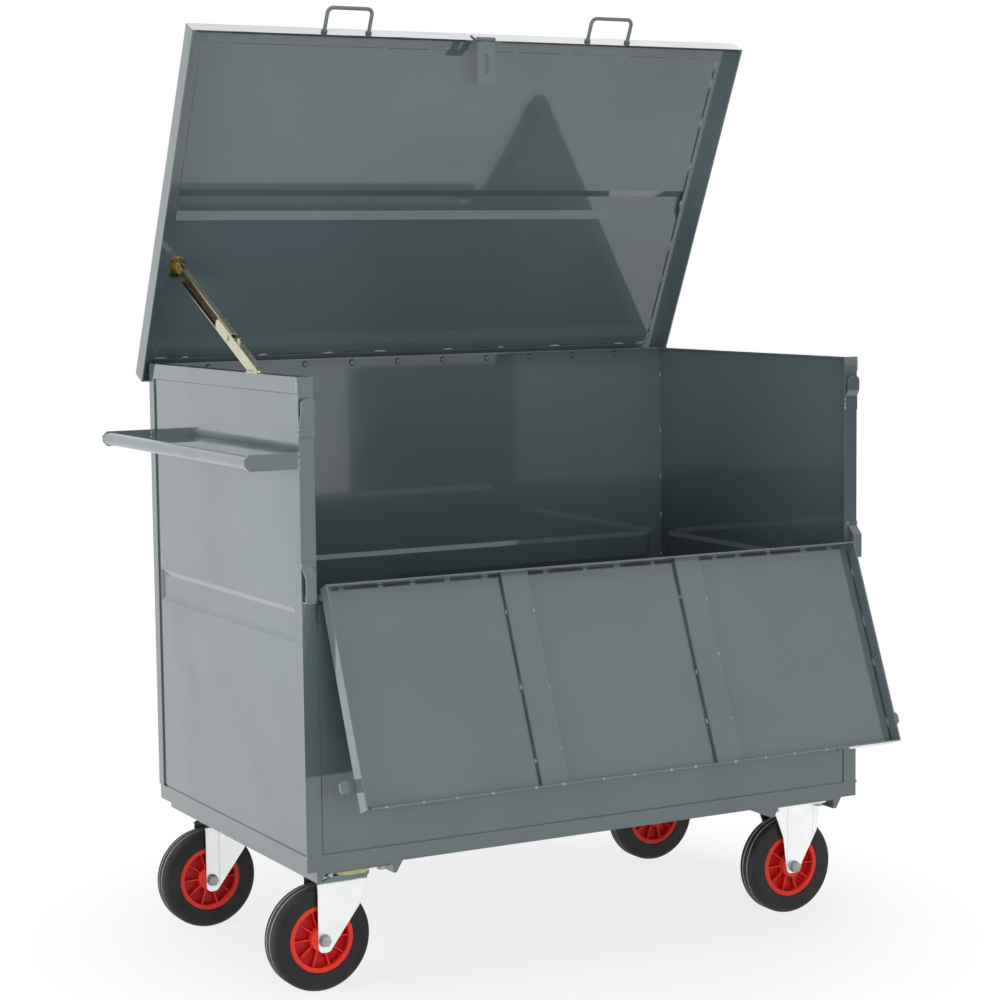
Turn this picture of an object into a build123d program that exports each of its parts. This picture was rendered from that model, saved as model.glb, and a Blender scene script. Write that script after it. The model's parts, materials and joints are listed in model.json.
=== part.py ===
from build123d import *
import math
import os

os.makedirs("parts", exist_ok=True)

# Box: outer sizes over the base rails, and the bars and sheets it is welded from
BOX_LENGTH = 1240.0
BOX_WIDTH = 740.0
WALL_HEIGHT = 906.0
SILL_LEVEL = 490.5
ANGLE_LEG = 30.0
ANGLE_T = 3.0
REAR_LEG = 25.0
SHEET_T = 2.0
FLOOR_T = 3.0
GROOVE = 3.5
PANEL_LAP = 12.0

# Pressed ribs in the walls and the lid
RIB_LEVEL = 452.5
RIB_BAND = 64.0
RIB_CREST = 44.0
RIB_DEPTH = 4.5
RIB_END = 32.0

# Castors: wheel, fork, plate and where they stand
CASTOR_HEIGHT = 233.0
TYRE_GAP = 12.7
TYRE_H = 36.0
TYRE_W = 46.0
TYRE_SHOULDER = 11.0
TREAD_GROOVE = 1.6
TREAD_GROOVE_OUT = 7.0
RIM_WALL = 9.0
RIM_W = 42.0
WEB_T = 8.0
HUB_D = 46.0
RIB_COUNT = 10
RIB_T = 2.5
RIB_W = 34.0
RIB_SINK = 1.0
HUB_PLAY = 1.0
BEARING_D = 24.0
AXLE_D = 12.0
AXLE_HEAD = 19.0
AXLE_HEAD_T = 7.5
AXLE_WASHER_D = 24.0
AXLE_WASHER_T = 2.5
FORK_GAP = 58.0
FORK_T = 4.0
FORK_TIP_R = 11.0
CASTOR_TRAIL = 61.0
PLATE_LENGTH = 135.0
PLATE_WIDTH = 100.0
PLATE_T = 4.0
PLATE_BOLT_X = 108.0
PLATE_BOLT_Y = 84.0
BOLT_D = 10.0
BOLT_HEAD = 16.0
BOLT_HEAD_T = 6.4
BOLT_PLAY = 0.5
RACE_D = 88.0
RACE_H = 10.0
RACE_WALL = 18.0
CROWN_D = 88.0
CROWN_T = 6.0
CROWN_NOSE = 30.0
SWIVEL_DROP = 23.5
SWIVEL_HEEL = 12.0
SWIVEL_TOE = 10.5
SWIVEL_SHOULDER = 11.0
SWIVEL_BELLY = 24.0
SWIVEL_BELLY_DROP = 31.0
SWIVEL_ELBOW = 11.0
SWIVEL_ELBOW_DROP = 61.0
FIXED_DROP = 13.5
FIXED_HEEL = 17.0
FIXED_TOE = 8.5
FIXED_BACK = 52.0
FIXED_NOSE = 62.0
FIXED_WAIST = 26.5
FIXED_WAIST_DROP = 66.0
FIXED_ELBOW = 57.0
FIXED_ELBOW_DROP = 59.0
KINGPIN_D = 16.0
KINGPIN_NUT = 24.0
KINGPIN_NUT_T = 9.0
FRONT_SWIVEL = 104.0
REAR_SWIVEL = 93.0
FIXED_CASTORS = 138.0
FRONT_CASTOR = 57.0
REAR_CASTOR = 162.0
LEFT_CHANNEL = 100.5
RIGHT_CHANNEL = 130.5
CHANNEL_W = 159.0
CHANNEL_T = 4.0
CHANNEL_DEPTH = 22.0
CHANNEL_SETBACK = 2.0
GUSSET_TOP = 20.0
GUSSET_FOOT = 7.0

# Push handle
HANDLE_REACH = 106.0
HANDLE_LEVEL = 756.0
HANDLE_ARM_H = 30.0
HANDLE_ARM_T = 6.0
HANDLE_ARM_CUT = 9.0
HANDLE_TUBE_D = 25.0
HANDLE_TUBE_WALL = 2.5

# Lid and its long hinge
LID_OPEN = 64.5
LID_END = 14.0
LID_FRONT = 10.0
LID_GAP = 1.0
LID_LEG = 35.0
LID_RIB_BAND = 67.0
LID_RIB_CREST = 33.0
LID_RIB_DEPTH = 8.0
LID_RIB_END = 8.0
KNUCKLE_D = 10.0
KNUCKLE_COUNT = 24
KNUCKLE_GAP = 2.0
HINGE_INSET = 20.0
HINGE_PIN_D = 5.0
LEAF_T = 2.0
LEAF_W = 32.0
RIVET_COUNT = 10
RIVET_PITCH = 109.5
RIVET_DROP = 12.0
RIVET_D = 6.0
RIVET_HEAD_D = 14.0
RIVET_HEAD_H = 3.0
RIVET_HEAD_TAPER = 40.0
LID_HANDLE_SPREAD = 604.0
LID_HANDLE_OUT = 50.0
HANDLE_W = 97.0
ROD_D = 8.0
ROD_BEND = 12.0
ROD_FOOT_D = 13.0
ROD_FOOT_H = 5.0

# Hasp on the lid and staple on the flap
HASP_W = 41.0
HASP_T = 3.0
HASP_LENGTH = 89.0
HASP_KNUCKLE_D = 9.0
HASP_PIN_D = 4.0
HASP_BASE_H = 24.0
SLOT_W = 9.0
SLOT_H = 38.0
SLOT_DROP = 32.0
STAPLE_T = 5.0
STAPLE_H = 30.0
STAPLE_OUT = 34.0
STAPLE_BASE = 60.0
SHACKLE_D = 11.0
SHACKLE_EDGE = 10.0

# Folding lid stay
STAY_X = 40.0
STAY_DROP = 14.0
STAY_WALL_Y = 254.4
STAY_LID_Y = 240.5
STAY_LOWER = 166.3
STAY_T = 14.0
STAY_WALL_T = 2.0
STAY_UPPER_W = 29.0
STAY_LOWER_W = 24.0
STAY_NECK = 26.0
STAY_UPPER_TAIL = 13.0
STAY_LOWER_TAIL = 52.0
STAY_LOWER_NECK = 24.0
STAY_EAR_D = 18.0
STAY_PIN_D = 6.0
STAY_HEAD_D = 11.0
STAY_HEAD_H = 1.5
STAY_BASE_W = 30.0
STAY_BASE_L = 46.0
STAY_BASE_R = 12.0
STAY_FOOT_L = 30.0
STAY_FOOT_RISE = 2.0
STAY_STUD_D = 7.0
STAY_STUD_OUT = 8.0
STAY_STUD_PLACE = 40.0

# Drop-down front flap with its pins, straps and catches
FLAP_SWING = 158.0
FLAP_LIFT = 32.0
FLAP_SIDE_GAP = 2.5
FLAP_SILL_GAP = 1.0
FLAP_TOP_GAP = 1.5
FLAP_PIN_D = 10.0
FLAP_PIN_LENGTH = 74.0
PIN_TO_EDGE = 15.0
SLEEVE_WALL = 2.0
SLEEVE_SINK = 1.0
SLEEVE_LENGTH = 42.0
STRAP_W = 20.0
STRAP_INSET = 1.0
STRAP_T = 3.0
STRAP_GAP = 16.0
STRAP_TOP_PLAY = 1.0
STRAP_PAD = 12.0
TAB_REACH = 30.0
TAB_W = 25.0
TAB_T = 4.0
TAB_CORNER = 9.0
TAB_TO_EDGE = 37.0
CATCH_W = 28.0
CATCH_T = 3.0
CATCH_PAD = 29.0
CATCH_MOUTH = 28.0
CATCH_RAMP = 12.0
CATCH_CORNER = 10.0
CATCH_FRONT_GAP = 1.0
CATCH_SEAT_GAP = 3.0
STIFFENER_SPREAD = 386.0
STIFFENER_W = 57.0
STIFFENER_H = 8.0
FLAP_HANDLE_SPREAD = 604.0
FLAP_HANDLE_OUT = 50.0
CLIP_WIRE_D = 2.4
CLIP_LENGTH = 44.0
CLIP_W = 11.0

# Clearances
FIT = 0.05
SEAT = 0.3

# Levels and faces that follow from the sizes above
rail_z = CASTOR_HEIGHT + CHANNEL_T
rail_top = rail_z + ANGLE_LEG
deck_z = rail_z + ANGLE_T
floor_top = deck_z + FLOOR_T
wall_top = rail_z + WALL_HEIGHT
sill_z = rail_z + SILL_LEVEL
panel_out = ANGLE_T - SHEET_T
panel_in = ANGLE_T
deck_in = panel_in + SHEET_T
proud = SHEET_T
panel_foot = rail_top + GROOVE
panel_head = wall_top - ANGLE_T
back_out = BOX_WIDTH + proud - ANGLE_T
back_in = back_out - SHEET_T
rib_z = rail_z + RIB_LEVEL


def block(x0, x1, y0, y1, z0, z1):
    """Box given by its two corners."""
    return Pos((x0 + x1) / 2, (y0 + y1) / 2, (z0 + z1) / 2) * Box(x1 - x0, y1 - y0, z1 - z0)


def plane_x(x):
    """Plane across X whose sketch reads (y, z)."""
    return Plane(origin=(x, 0, 0), x_dir=(0, 1, 0), z_dir=(1, 0, 0))


def plane_y(y):
    """Plane across Y whose sketch reads (x, z) and whose normal points to the front."""
    return Plane(origin=(0, y, 0), x_dir=(1, 0, 0), z_dir=(0, -1, 0))


def prism_x(points, x0, x1):
    """Outline in (y, z) run along X."""
    return extrude(plane_x(x0) * make_face(Polyline(*points, close=True)), amount=x1 - x0)


def prism_y(points, y0, y1):
    """Outline in (x, z) run along Y."""
    return extrude(plane_y(y1) * make_face(Polyline(*points, close=True)), amount=y1 - y0)


def bar_x(radius, x0, x1, y, z):
    """Round bar along X."""
    return extrude(plane_x(x0) * Pos(y, z) * Circle(radius), amount=x1 - x0)


def bar_y(radius, y0, y1, x, z):
    """Round bar along Y."""
    return extrude(plane_y(y1) * Pos(x, z) * Circle(radius), amount=y1 - y0)


def bar_z(radius, z0, z1, x, y):
    """Round bar along Z."""
    return extrude(Pos(x, y, z0) * Circle(radius), amount=z1 - z0)


def hex_z(across, z0, z1, x, y):
    """Hexagon bar along Z."""
    return extrude(Pos(x, y, z0) * RegularPolygon(across / math.sqrt(3), 6), amount=z1 - z0)


def hex_y(across, y0, y1, x, z):
    """Hexagon bar along Y."""
    return extrude(plane_y(y1) * Pos(x, z) * RegularPolygon(across / math.sqrt(3), 6), amount=y1 - y0)


def strip(path, thickness):
    """Outline of a bent flat strip: the path moved half a thickness to both sides, corners mitred."""
    left = []
    right = []
    for i, (a, b) in enumerate(path):
        before = path[max(i - 1, 0)]
        after = path[min(i + 1, len(path) - 1)]
        if i == 0:
            before = (2 * a - after[0], 2 * b - after[1])
        if i == len(path) - 1:
            after = (2 * a - before[0], 2 * b - before[1])
        turn_in = math.atan2(b - before[1], a - before[0])
        turn_out = math.atan2(after[1] - b, after[0] - a)
        bend = math.remainder(turn_out - turn_in, 2 * math.pi)
        reach = thickness / 2 / math.cos(bend / 2)
        normal = turn_in + bend / 2 + math.pi / 2
        left.append((a + reach * math.cos(normal), b + reach * math.sin(normal)))
        right.append((a - reach * math.cos(normal), b - reach * math.sin(normal)))
    return left + right[::-1]


def across_x(shape):
    """The same piece at the other end of the box."""
    return shape.mirror(Plane.YZ.offset(BOX_LENGTH / 2))


def across_y(shape):
    """The same piece on the other long side of the box."""
    return shape.mirror(Plane.XZ.offset(-BOX_WIDTH / 2))


def both_ends(shape):
    """A piece and its mirror image at the other end, as separate solids."""
    return group([shape, across_x(shape)])


def group(solids):
    """Separate solids kept together in one node."""
    return Compound(children=list(solids))


def rib(plane, length, band, crest, depth):
    """Pressed rib standing out of a sheet: a long frustum on the given plane."""
    foot = plane * Rectangle(length, band)
    top = plane.offset(depth) * Rectangle(length - (band - crest), crest)
    return loft([foot, top])


def pressed(panel, outside, inside, length):
    """Wall sheet with a rib pressed inwards, from the plane of its outer face to that of its inner face."""
    sizes = (length, RIB_BAND, RIB_CREST, RIB_DEPTH)
    return panel + rib(inside, *sizes) - rib(outside, *sizes)


def pull_handle(x, y, z, out):
    """Bent rod with two welded feet, standing out to the front from the face at y."""
    half = HANDLE_W / 2
    crest = y - out
    path = FilletPolyline((x - half, y, z), (x - half, crest, z), (x + half, crest, z), (x + half, y, z),
                          radius=ROD_BEND)
    start = Plane(origin=(x - half, y, z), z_dir=(0, -1, 0))
    rod = sweep(start * Circle(ROD_D / 2), path=path)
    for side in (-half, half):
        rod += bar_y(ROD_FOOT_D / 2, y - ROD_FOOT_H, y, x + side, z)
    return rod


# Base frame

def base_rails():
    """Angle rails round the base, outer legs upright, lower legs turned in."""
    front = prism_x([(0, rail_z), (ANGLE_LEG, rail_z), (ANGLE_LEG, rail_z + ANGLE_T),
                     (ANGLE_T, rail_z + ANGLE_T), (ANGLE_T, rail_top), (0, rail_top)], 0, BOX_LENGTH)
    left = block(0, ANGLE_T, ANGLE_T, BOX_WIDTH - ANGLE_T, rail_z + ANGLE_T, rail_top)
    left += block(0, ANGLE_LEG, ANGLE_LEG, BOX_WIDTH - ANGLE_LEG, rail_z, rail_z + ANGLE_T)
    return group([front, across_y(front), left, across_x(left)])


def castor_spots():
    """Castor centres: the swivel pair at the handle end, then the fixed pair, front before rear."""
    right = BOX_LENGTH - FIXED_CASTORS
    rear = BOX_WIDTH - REAR_CASTOR
    return [(FRONT_SWIVEL, FRONT_CASTOR), (REAR_SWIVEL, rear), (right, FRONT_CASTOR), (right, rear)]


def plate_bolts(x, y):
    """Bolt centres of one castor plate."""
    return [(x + i * PLATE_BOLT_X / 2, y + j * PLATE_BOLT_Y / 2) for i in (-1, 1) for j in (-1, 1)]


def castor_channels():
    """Two channels across the base, with a small gusset on each flank at both ends."""
    made = []
    foot = rail_z - CHANNEL_DEPTH
    y0 = CHANNEL_SETBACK
    y1 = BOX_WIDTH - CHANNEL_SETBACK
    castors = castor_spots()
    for x, pair in ((LEFT_CHANNEL, castors[:2]), (BOX_LENGTH - RIGHT_CHANNEL, castors[2:])):
        x0 = x - CHANNEL_W / 2
        x1 = x + CHANNEL_W / 2
        channel = block(x0, x1, y0, y1, rail_z - CHANNEL_T, rail_z)
        for flank in (x0, x1 - CHANNEL_T):
            channel += block(flank, flank + CHANNEL_T, y0, y1, foot, rail_z)
            gusset = [(flank, rail_z), (flank, foot), (flank + GUSSET_FOOT, foot), (flank + GUSSET_TOP, rail_z)]
            for y in (y0, y1 - CHANNEL_T):
                channel += prism_y(gusset, y, y + CHANNEL_T)
        for castor in pair:
            for bolt_x, bolt_y in plate_bolts(*castor):
                channel -= bar_z(BOLT_D / 2 + FIT, foot, rail_z, bolt_x, bolt_y)
        made.append(channel)
    return group(made)


def floor_plate():
    """Load deck lying on the lower legs of the rails, inside the feet of the walls."""
    return block(deck_in, BOX_LENGTH - deck_in, deck_in, BOX_WIDTH - deck_in, deck_z, floor_top)


# Walls

def front_posts():
    """Angle posts at the front corners."""
    post = block(0, ANGLE_LEG, 0, ANGLE_T, rail_top, wall_top)
    post += block(panel_in, panel_in + ANGLE_T, ANGLE_T, ANGLE_LEG, rail_top, panel_head)
    return both_ends(post)


def rear_posts():
    """Angle posts at the rear corners, outside the panels."""
    top = wall_top - ANGLE_LEG
    y1 = BOX_WIDTH + proud
    post = block(-proud, panel_out, y1 - REAR_LEG, y1, rail_top, top)
    post += block(panel_out, REAR_LEG - proud, back_out, y1, rail_top, top)
    return both_ends(post)


def hinge_rivet_spots():
    """Places of the rivets along the hinge."""
    first = BOX_LENGTH / 2 - (RIVET_COUNT - 1) * RIVET_PITCH / 2
    return [first + i * RIVET_PITCH for i in range(RIVET_COUNT)]


def rivet_holes():
    """Cutter for the hinge rivets through panel, rim and leaf."""
    z = wall_top - RIVET_DROP
    y1 = BOX_WIDTH + proud + LEAF_T
    return [bar_y(RIVET_D / 2 + FIT, back_in, y1, x, z) for x in hinge_rivet_spots()]


def top_rims():
    """Angle rims on the two ends and the back, open at the front."""
    y1 = BOX_WIDTH + proud
    foot = wall_top - ANGLE_LEG
    inner = ANGLE_LEG - proud
    side = block(-proud, panel_out, ANGLE_T, back_out, foot, wall_top)
    side += block(panel_out, inner, ANGLE_T, back_out, panel_head, wall_top)
    back = block(-proud, BOX_LENGTH + proud, back_out, y1, foot, wall_top)
    back += block(inner, BOX_LENGTH - inner, y1 - ANGLE_LEG, back_out, panel_head, wall_top)
    back -= rivet_holes()
    return group([side, across_x(side), back])


def side_panel_left():
    """End wall sheet with its rib, and its foot set in behind the rail."""
    panel = block(panel_out, panel_in, ANGLE_T, back_out, panel_foot, panel_head)
    lap = panel_foot + PANEL_LAP
    panel += block(panel_in, deck_in, ANGLE_LEG, BOX_WIDTH - ANGLE_LEG, deck_z, lap)
    middle = (ANGLE_T + back_out) / 2
    length = back_out - ANGLE_T - 2 * RIB_END
    outside = Plane(origin=(panel_out, middle, rib_z), x_dir=(0, 1, 0), z_dir=(1, 0, 0))
    inside = Plane(origin=(panel_in, middle, rib_z), x_dir=(0, 1, 0), z_dir=(1, 0, 0))
    return pressed(panel, outside, inside, length)


def back_panel():
    """Back wall sheet with its rib, and its foot set in behind the rail."""
    panel = block(panel_in, BOX_LENGTH - panel_in, back_in, back_out, panel_foot, panel_head)
    lap = panel_foot + PANEL_LAP
    panel += block(ANGLE_LEG, BOX_LENGTH - ANGLE_LEG, back_in - SHEET_T, back_in, deck_z, lap)
    length = BOX_LENGTH - 2 * panel_in - 2 * RIB_END
    outside = Plane(origin=(BOX_LENGTH / 2, back_out, rib_z), x_dir=(1, 0, 0), z_dir=(0, -1, 0))
    inside = Plane(origin=(BOX_LENGTH / 2, back_in, rib_z), x_dir=(1, 0, 0), z_dir=(0, -1, 0))
    return pressed(panel, outside, inside, length) - rivet_holes()


def front_panel():
    """Lower front sheet: a shallow pan whose edge runs behind posts and rail, leaving a groove."""
    x0 = panel_in + ANGLE_T
    field = ANGLE_LEG + GROOVE
    hollow = field + SHEET_T
    panel = block(x0, BOX_LENGTH - x0, panel_in, deck_in, deck_z, sill_z)
    panel += block(field, BOX_LENGTH - field, panel_out, panel_in, panel_foot, sill_z)
    panel -= block(hollow, BOX_LENGTH - hollow, panel_in, deck_in, panel_foot + SHEET_T, sill_z - SHEET_T)
    return panel


def front_sill():
    """Flat bar behind the top edge of the front panel."""
    x0 = panel_in + ANGLE_T
    return block(x0, BOX_LENGTH - x0, deck_in, deck_in + ANGLE_T, sill_z - ANGLE_LEG, sill_z)


# Push handle

handle_z = rail_z + HANDLE_LEVEL


def handle_arms():
    """Two flat arms with cut corners, welded to the corner posts."""
    z0 = handle_z - HANDLE_ARM_H / 2
    z1 = handle_z + HANDLE_ARM_H / 2
    cut = HANDLE_ARM_CUT

    def outline(root):
        return [(root, z0), (root, z1), (cut - HANDLE_REACH, z1), (-HANDLE_REACH, z1 - cut),
                (-HANDLE_REACH, z0 + cut), (cut - HANDLE_REACH, z0)]

    y1 = BOX_WIDTH + proud
    return group([prism_y(outline(0), 0, HANDLE_ARM_T), prism_y(outline(-proud), y1 - HANDLE_ARM_T, y1)])


def handle_bar():
    """Tube between the two arms."""
    x = HANDLE_TUBE_D / 2 - HANDLE_REACH
    y0 = HANDLE_ARM_T
    y1 = BOX_WIDTH + proud - HANDLE_ARM_T
    tube = bar_y(HANDLE_TUBE_D / 2, y0, y1, x, handle_z)
    return tube - bar_y(HANDLE_TUBE_D / 2 - HANDLE_TUBE_WALL, y0, y1, x, handle_z)


# Castors, each made with its centre at X = Y = 0

plate_z = CASTOR_HEIGHT - PLATE_T
crown_z = plate_z - RACE_H - SEAT
wheel_r = (crown_z - CROWN_T - TYRE_GAP) / 2
rim_r = wheel_r - TYRE_H
axle_z = wheel_r
fork_in = FORK_GAP / 2
fork_out = fork_in + FORK_T


def tyre():
    """Solid tyre with round shoulders and two fine grooves in the tread."""
    half = TYRE_W / 2
    bead = rim_r + (TYRE_W - RIM_W) / 2
    side = wheel_r - TYRE_SHOULDER
    edge = half - TYRE_SHOULDER
    near = TREAD_GROOVE_OUT - TREAD_GROOVE
    far = TREAD_GROOVE_OUT + TREAD_GROOVE
    cut = wheel_r - TREAD_GROOVE

    def half_outline(way):
        wall = Polyline((rim_r, 0), (rim_r, way * RIM_W / 2), (bead, way * half), (side, way * half))
        shoulder = RadiusArc((side, way * half), (wheel_r, way * edge), way * TYRE_SHOULDER)
        tread = Polyline((wheel_r, way * edge), (wheel_r, way * far), (cut, way * TREAD_GROOVE_OUT),
                         (wheel_r, way * near), (wheel_r, 0))
        return wall.edges() + shoulder.edges() + tread.edges()

    return revolve(make_face(half_outline(1) + half_outline(-1)), Axis.Y)


def wheel_centre():
    """Moulded centre: rim, web, hub and ribs."""
    floor = rim_r - RIM_WALL
    points = [(BEARING_D / 2, fork_in - HUB_PLAY), (HUB_D / 2, fork_in - HUB_PLAY), (HUB_D / 2, WEB_T / 2),
              (floor, WEB_T / 2), (floor, RIM_W / 2), (rim_r, RIM_W / 2)]
    points += [(a, -b) for a, b in points[::-1]]
    centre = revolve(make_face(Polyline(*points, close=True)), Axis.Y)
    inner = HUB_D / 2 - RIB_SINK
    outer = floor + RIB_SINK
    for i in range(RIB_COUNT):
        spoke = block(inner, outer, -RIB_W / 2, RIB_W / 2, -RIB_T / 2, RIB_T / 2)
        centre += Rot(0, 360 / RIB_COUNT * i, 0) * spoke
    return centre


def wheel_bearing():
    """Sleeve bearing in the hub, a touch shorter than the fork gap."""
    half = fork_in - SEAT
    sleeve = bar_y(BEARING_D / 2, -half, half, 0, 0)
    return sleeve - bar_y(AXLE_D / 2 + FIT, -half, half, 0, 0)


def axle():
    """Axle bolt with head, nut and a washer under each, outside the fork."""
    seat = fork_out + AXLE_WASHER_T
    bolt = bar_y(AXLE_D / 2, -fork_out, fork_out, 0, 0)
    for low, high in ((-seat, -fork_out), (fork_out, seat)):
        bolt += bar_y(AXLE_WASHER_D / 2, low, high, 0, 0)
    for low, high in ((-seat - AXLE_HEAD_T, -seat), (seat, seat + AXLE_HEAD_T)):
        bolt += hex_y(AXLE_HEAD, low, high, 0, 0)
    return bolt


def fork_legs(x, points):
    """Two fork legs with round tips and the hole for the axle; the first two points are the tip."""
    outline = make_face(Polyline(*points, close=True))
    outline = fillet(outline.vertices().group_by(Axis.Y)[0], FORK_TIP_R)
    outline -= Pos(x, axle_z) * Circle(AXLE_D / 2 + FIT)
    return [extrude(plane_y(y) * outline, amount=FORK_T) for y in (-fork_in, fork_out)]


def swivel_fork():
    """Crown with two legs trailing back to the axle, upright at the back and slanted at the front."""
    half = CROWN_D / 2
    x = -CASTOR_TRAIL
    heel = x - SWIVEL_HEEL
    tip = axle_z - SWIVEL_DROP
    points = [(heel, tip), (x + SWIVEL_TOE, tip), (SWIVEL_ELBOW, crown_z - SWIVEL_ELBOW_DROP),
              (SWIVEL_BELLY, crown_z - SWIVEL_BELLY_DROP), (CROWN_NOSE, crown_z), (-half, crown_z),
              (heel, crown_z - SWIVEL_SHOULDER)]
    fork = bar_z(half, crown_z - CROWN_T, crown_z, 0, 0)
    fork += block(-half, CROWN_NOSE, -fork_out, fork_out, crown_z - CROWN_T, crown_z)
    fork += fork_legs(x, points)
    return fork - bar_z(KINGPIN_D / 2 + FIT, crown_z - CROWN_T, crown_z, 0, 0)


def top_plate():
    """Castor plate with its four bolt holes."""
    half_x = PLATE_LENGTH / 2
    half_y = PLATE_WIDTH / 2
    plate = block(-half_x, half_x, -half_y, half_y, plate_z, CASTOR_HEIGHT)
    for x, y in plate_bolts(0, 0):
        plate -= bar_z(BOLT_D / 2 + BOLT_PLAY, plate_z, CASTOR_HEIGHT, x, y)
    return plate


def swivel_plate():
    """Castor plate with the kingpin hole."""
    return top_plate() - bar_z(KINGPIN_D / 2, plate_z, CASTOR_HEIGHT, 0, 0)


def swivel_race():
    """Ball race ring between plate and crown."""
    ring = bar_z(RACE_D / 2, plate_z - RACE_H, plate_z, 0, 0)
    return ring - bar_z(RACE_D / 2 - RACE_WALL, plate_z - RACE_H, plate_z, 0, 0)


def kingpin():
    """Pin fixed in the plate, with a nut under the crown."""
    nut = crown_z - CROWN_T - SEAT
    pin = bar_z(KINGPIN_D / 2, nut, CASTOR_HEIGHT, 0, 0)
    return pin + hex_z(KINGPIN_NUT, nut - KINGPIN_NUT_T, nut, 0, 0)


def fixed_fork():
    """Castor plate with two legs, waisted at the back and slanted at the front."""
    tip = axle_z - FIXED_DROP
    points = [(-FIXED_HEEL, tip), (FIXED_TOE, tip), (FIXED_ELBOW, plate_z - FIXED_ELBOW_DROP),
              (FIXED_NOSE, plate_z), (-FIXED_BACK, plate_z), (-FIXED_WAIST, plate_z - FIXED_WAIST_DROP)]
    fork = top_plate()
    fork += fork_legs(0, points)
    return fork


def plate_bolt(x, y):
    """Hexagon bolt up through plate and channel."""
    bolt = bar_z(BOLT_D / 2, plate_z, rail_z, x, y)
    return bolt + hex_z(BOLT_HEAD, plate_z - BOLT_HEAD_T, plate_z, x, y)


spots = castor_spots()
swivel_spots = spots[:2]
fixed_spots = spots[2:]
wheel_names = ["front_left", "rear_left", "front_right", "rear_right"]
wheel_places = [Pos(x - CASTOR_TRAIL, y, axle_z) for x, y in swivel_spots]
wheel_places += [Pos(x, y, axle_z) for x, y in fixed_spots]


# Lid, made closed and then opened about its hinge

hinge_y = BOX_WIDTH + proud + KNUCKLE_D / 2
lid_x0 = -LID_END
lid_x1 = BOX_LENGTH + LID_END
lid_y0 = -LID_FRONT
lid_y1 = hinge_y + KNUCKLE_D / 2 - LEAF_T
lid_leg_z = wall_top + LID_GAP
lid_sheet_z = lid_leg_z + ANGLE_T
lid_foot_z = lid_sheet_z - LID_LEG
hinge_z = lid_foot_z - KNUCKLE_GAP - KNUCKLE_D / 2


def open_lid(shape):
    """Turn a piece of the closed lid to where the open lid stands."""
    return Pos(0, hinge_y, hinge_z) * Rot(-LID_OPEN, 0, 0) * Pos(0, -hinge_y, -hinge_z) * shape


def lid_point(y, z):
    """A point of the closed lid, on the open lid."""
    a = math.radians(LID_OPEN)
    dy = y - hinge_y
    dz = z - hinge_z
    return (hinge_y + dy * math.cos(a) + dz * math.sin(a), hinge_z - dy * math.sin(a) + dz * math.cos(a))


def lid_sheet():
    """Lid sheet with a rib along its middle."""
    middle = (lid_y0 + lid_y1) / 2
    length = lid_x1 - lid_x0 - 2 * LID_RIB_END
    top = lid_sheet_z + SHEET_T
    sheet = block(lid_x0, lid_x1, lid_y0, lid_y1, lid_sheet_z, top)
    sizes = (length, LID_RIB_BAND, LID_RIB_CREST, LID_RIB_DEPTH)
    sheet += rib(Plane(origin=(BOX_LENGTH / 2, middle, top)), *sizes)
    hollow = rib(Plane(origin=(BOX_LENGTH / 2, middle, lid_sheet_z)), *sizes)
    return sheet - hollow


def lid_frame():
    """Angle frame under the lid sheet: flat legs in, flanges down."""
    y0 = lid_y0
    front = prism_x([(y0, lid_foot_z), (y0 + ANGLE_T, lid_foot_z), (y0 + ANGLE_T, lid_leg_z),
                     (y0 + LID_LEG, lid_leg_z), (y0 + LID_LEG, lid_sheet_z), (y0, lid_sheet_z)],
                    lid_x0, lid_x1)
    back = front.mirror(Plane.XZ.offset(-(lid_y0 + lid_y1) / 2))
    side = block(lid_x0, lid_x0 + ANGLE_T, lid_y0 + ANGLE_T, lid_y1 - ANGLE_T, lid_foot_z, lid_leg_z)
    side += block(lid_x0, lid_x0 + LID_LEG, lid_y0 + LID_LEG, lid_y1 - LID_LEG, lid_leg_z, lid_sheet_z)
    return group([front, back, side, across_x(side)])


def lid_handles():
    """Two pull handles on the front flange."""
    z = (lid_foot_z + lid_sheet_z) / 2
    places = [BOX_LENGTH / 2 + i * LID_HANDLE_SPREAD / 2 for i in (-1, 1)]
    return group([pull_handle(x, lid_y0, z, LID_HANDLE_OUT) for x in places])


hinge_x0 = HINGE_INSET
knuckle_pitch = (BOX_LENGTH - 2 * HINGE_INSET) / KNUCKLE_COUNT


def hinge_leaf(y0, y1, first):
    """One leaf of the long hinge: plate, and every second knuckle from the first one given."""
    clear = KNUCKLE_D / 2 + SEAT
    leaf = block(hinge_x0, BOX_LENGTH - hinge_x0, y0, y1, hinge_z + clear, hinge_z + LEAF_W)
    knuckles = []
    for i in range(first, KNUCKLE_COUNT, 2):
        x0 = hinge_x0 + i * knuckle_pitch + SEAT / 2
        x1 = x0 + knuckle_pitch - SEAT
        knuckles.append(block(x0, x1, y0, y1, hinge_z, hinge_z + clear))
        knuckles.append(bar_x(KNUCKLE_D / 2, x0, x1, hinge_y, hinge_z))
    leaf += knuckles
    return leaf - bar_x(HINGE_PIN_D / 2 + FIT, hinge_x0, BOX_LENGTH - hinge_x0, hinge_y, hinge_z)


def hinge_box_leaf():
    """Leaf on the outer face of the back rim."""
    y0 = BOX_WIDTH + proud
    return hinge_leaf(y0, y0 + LEAF_T, 0) - rivet_holes()


def hinge_lid_leaf():
    """Leaf on the outer face of the lid's rear flange."""
    return hinge_leaf(lid_y1, lid_y1 + LEAF_T, 1)


def hinge_pin():
    """Pin through all knuckles."""
    return bar_x(HINGE_PIN_D / 2, hinge_x0, BOX_LENGTH - hinge_x0, hinge_y, hinge_z)


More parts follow.
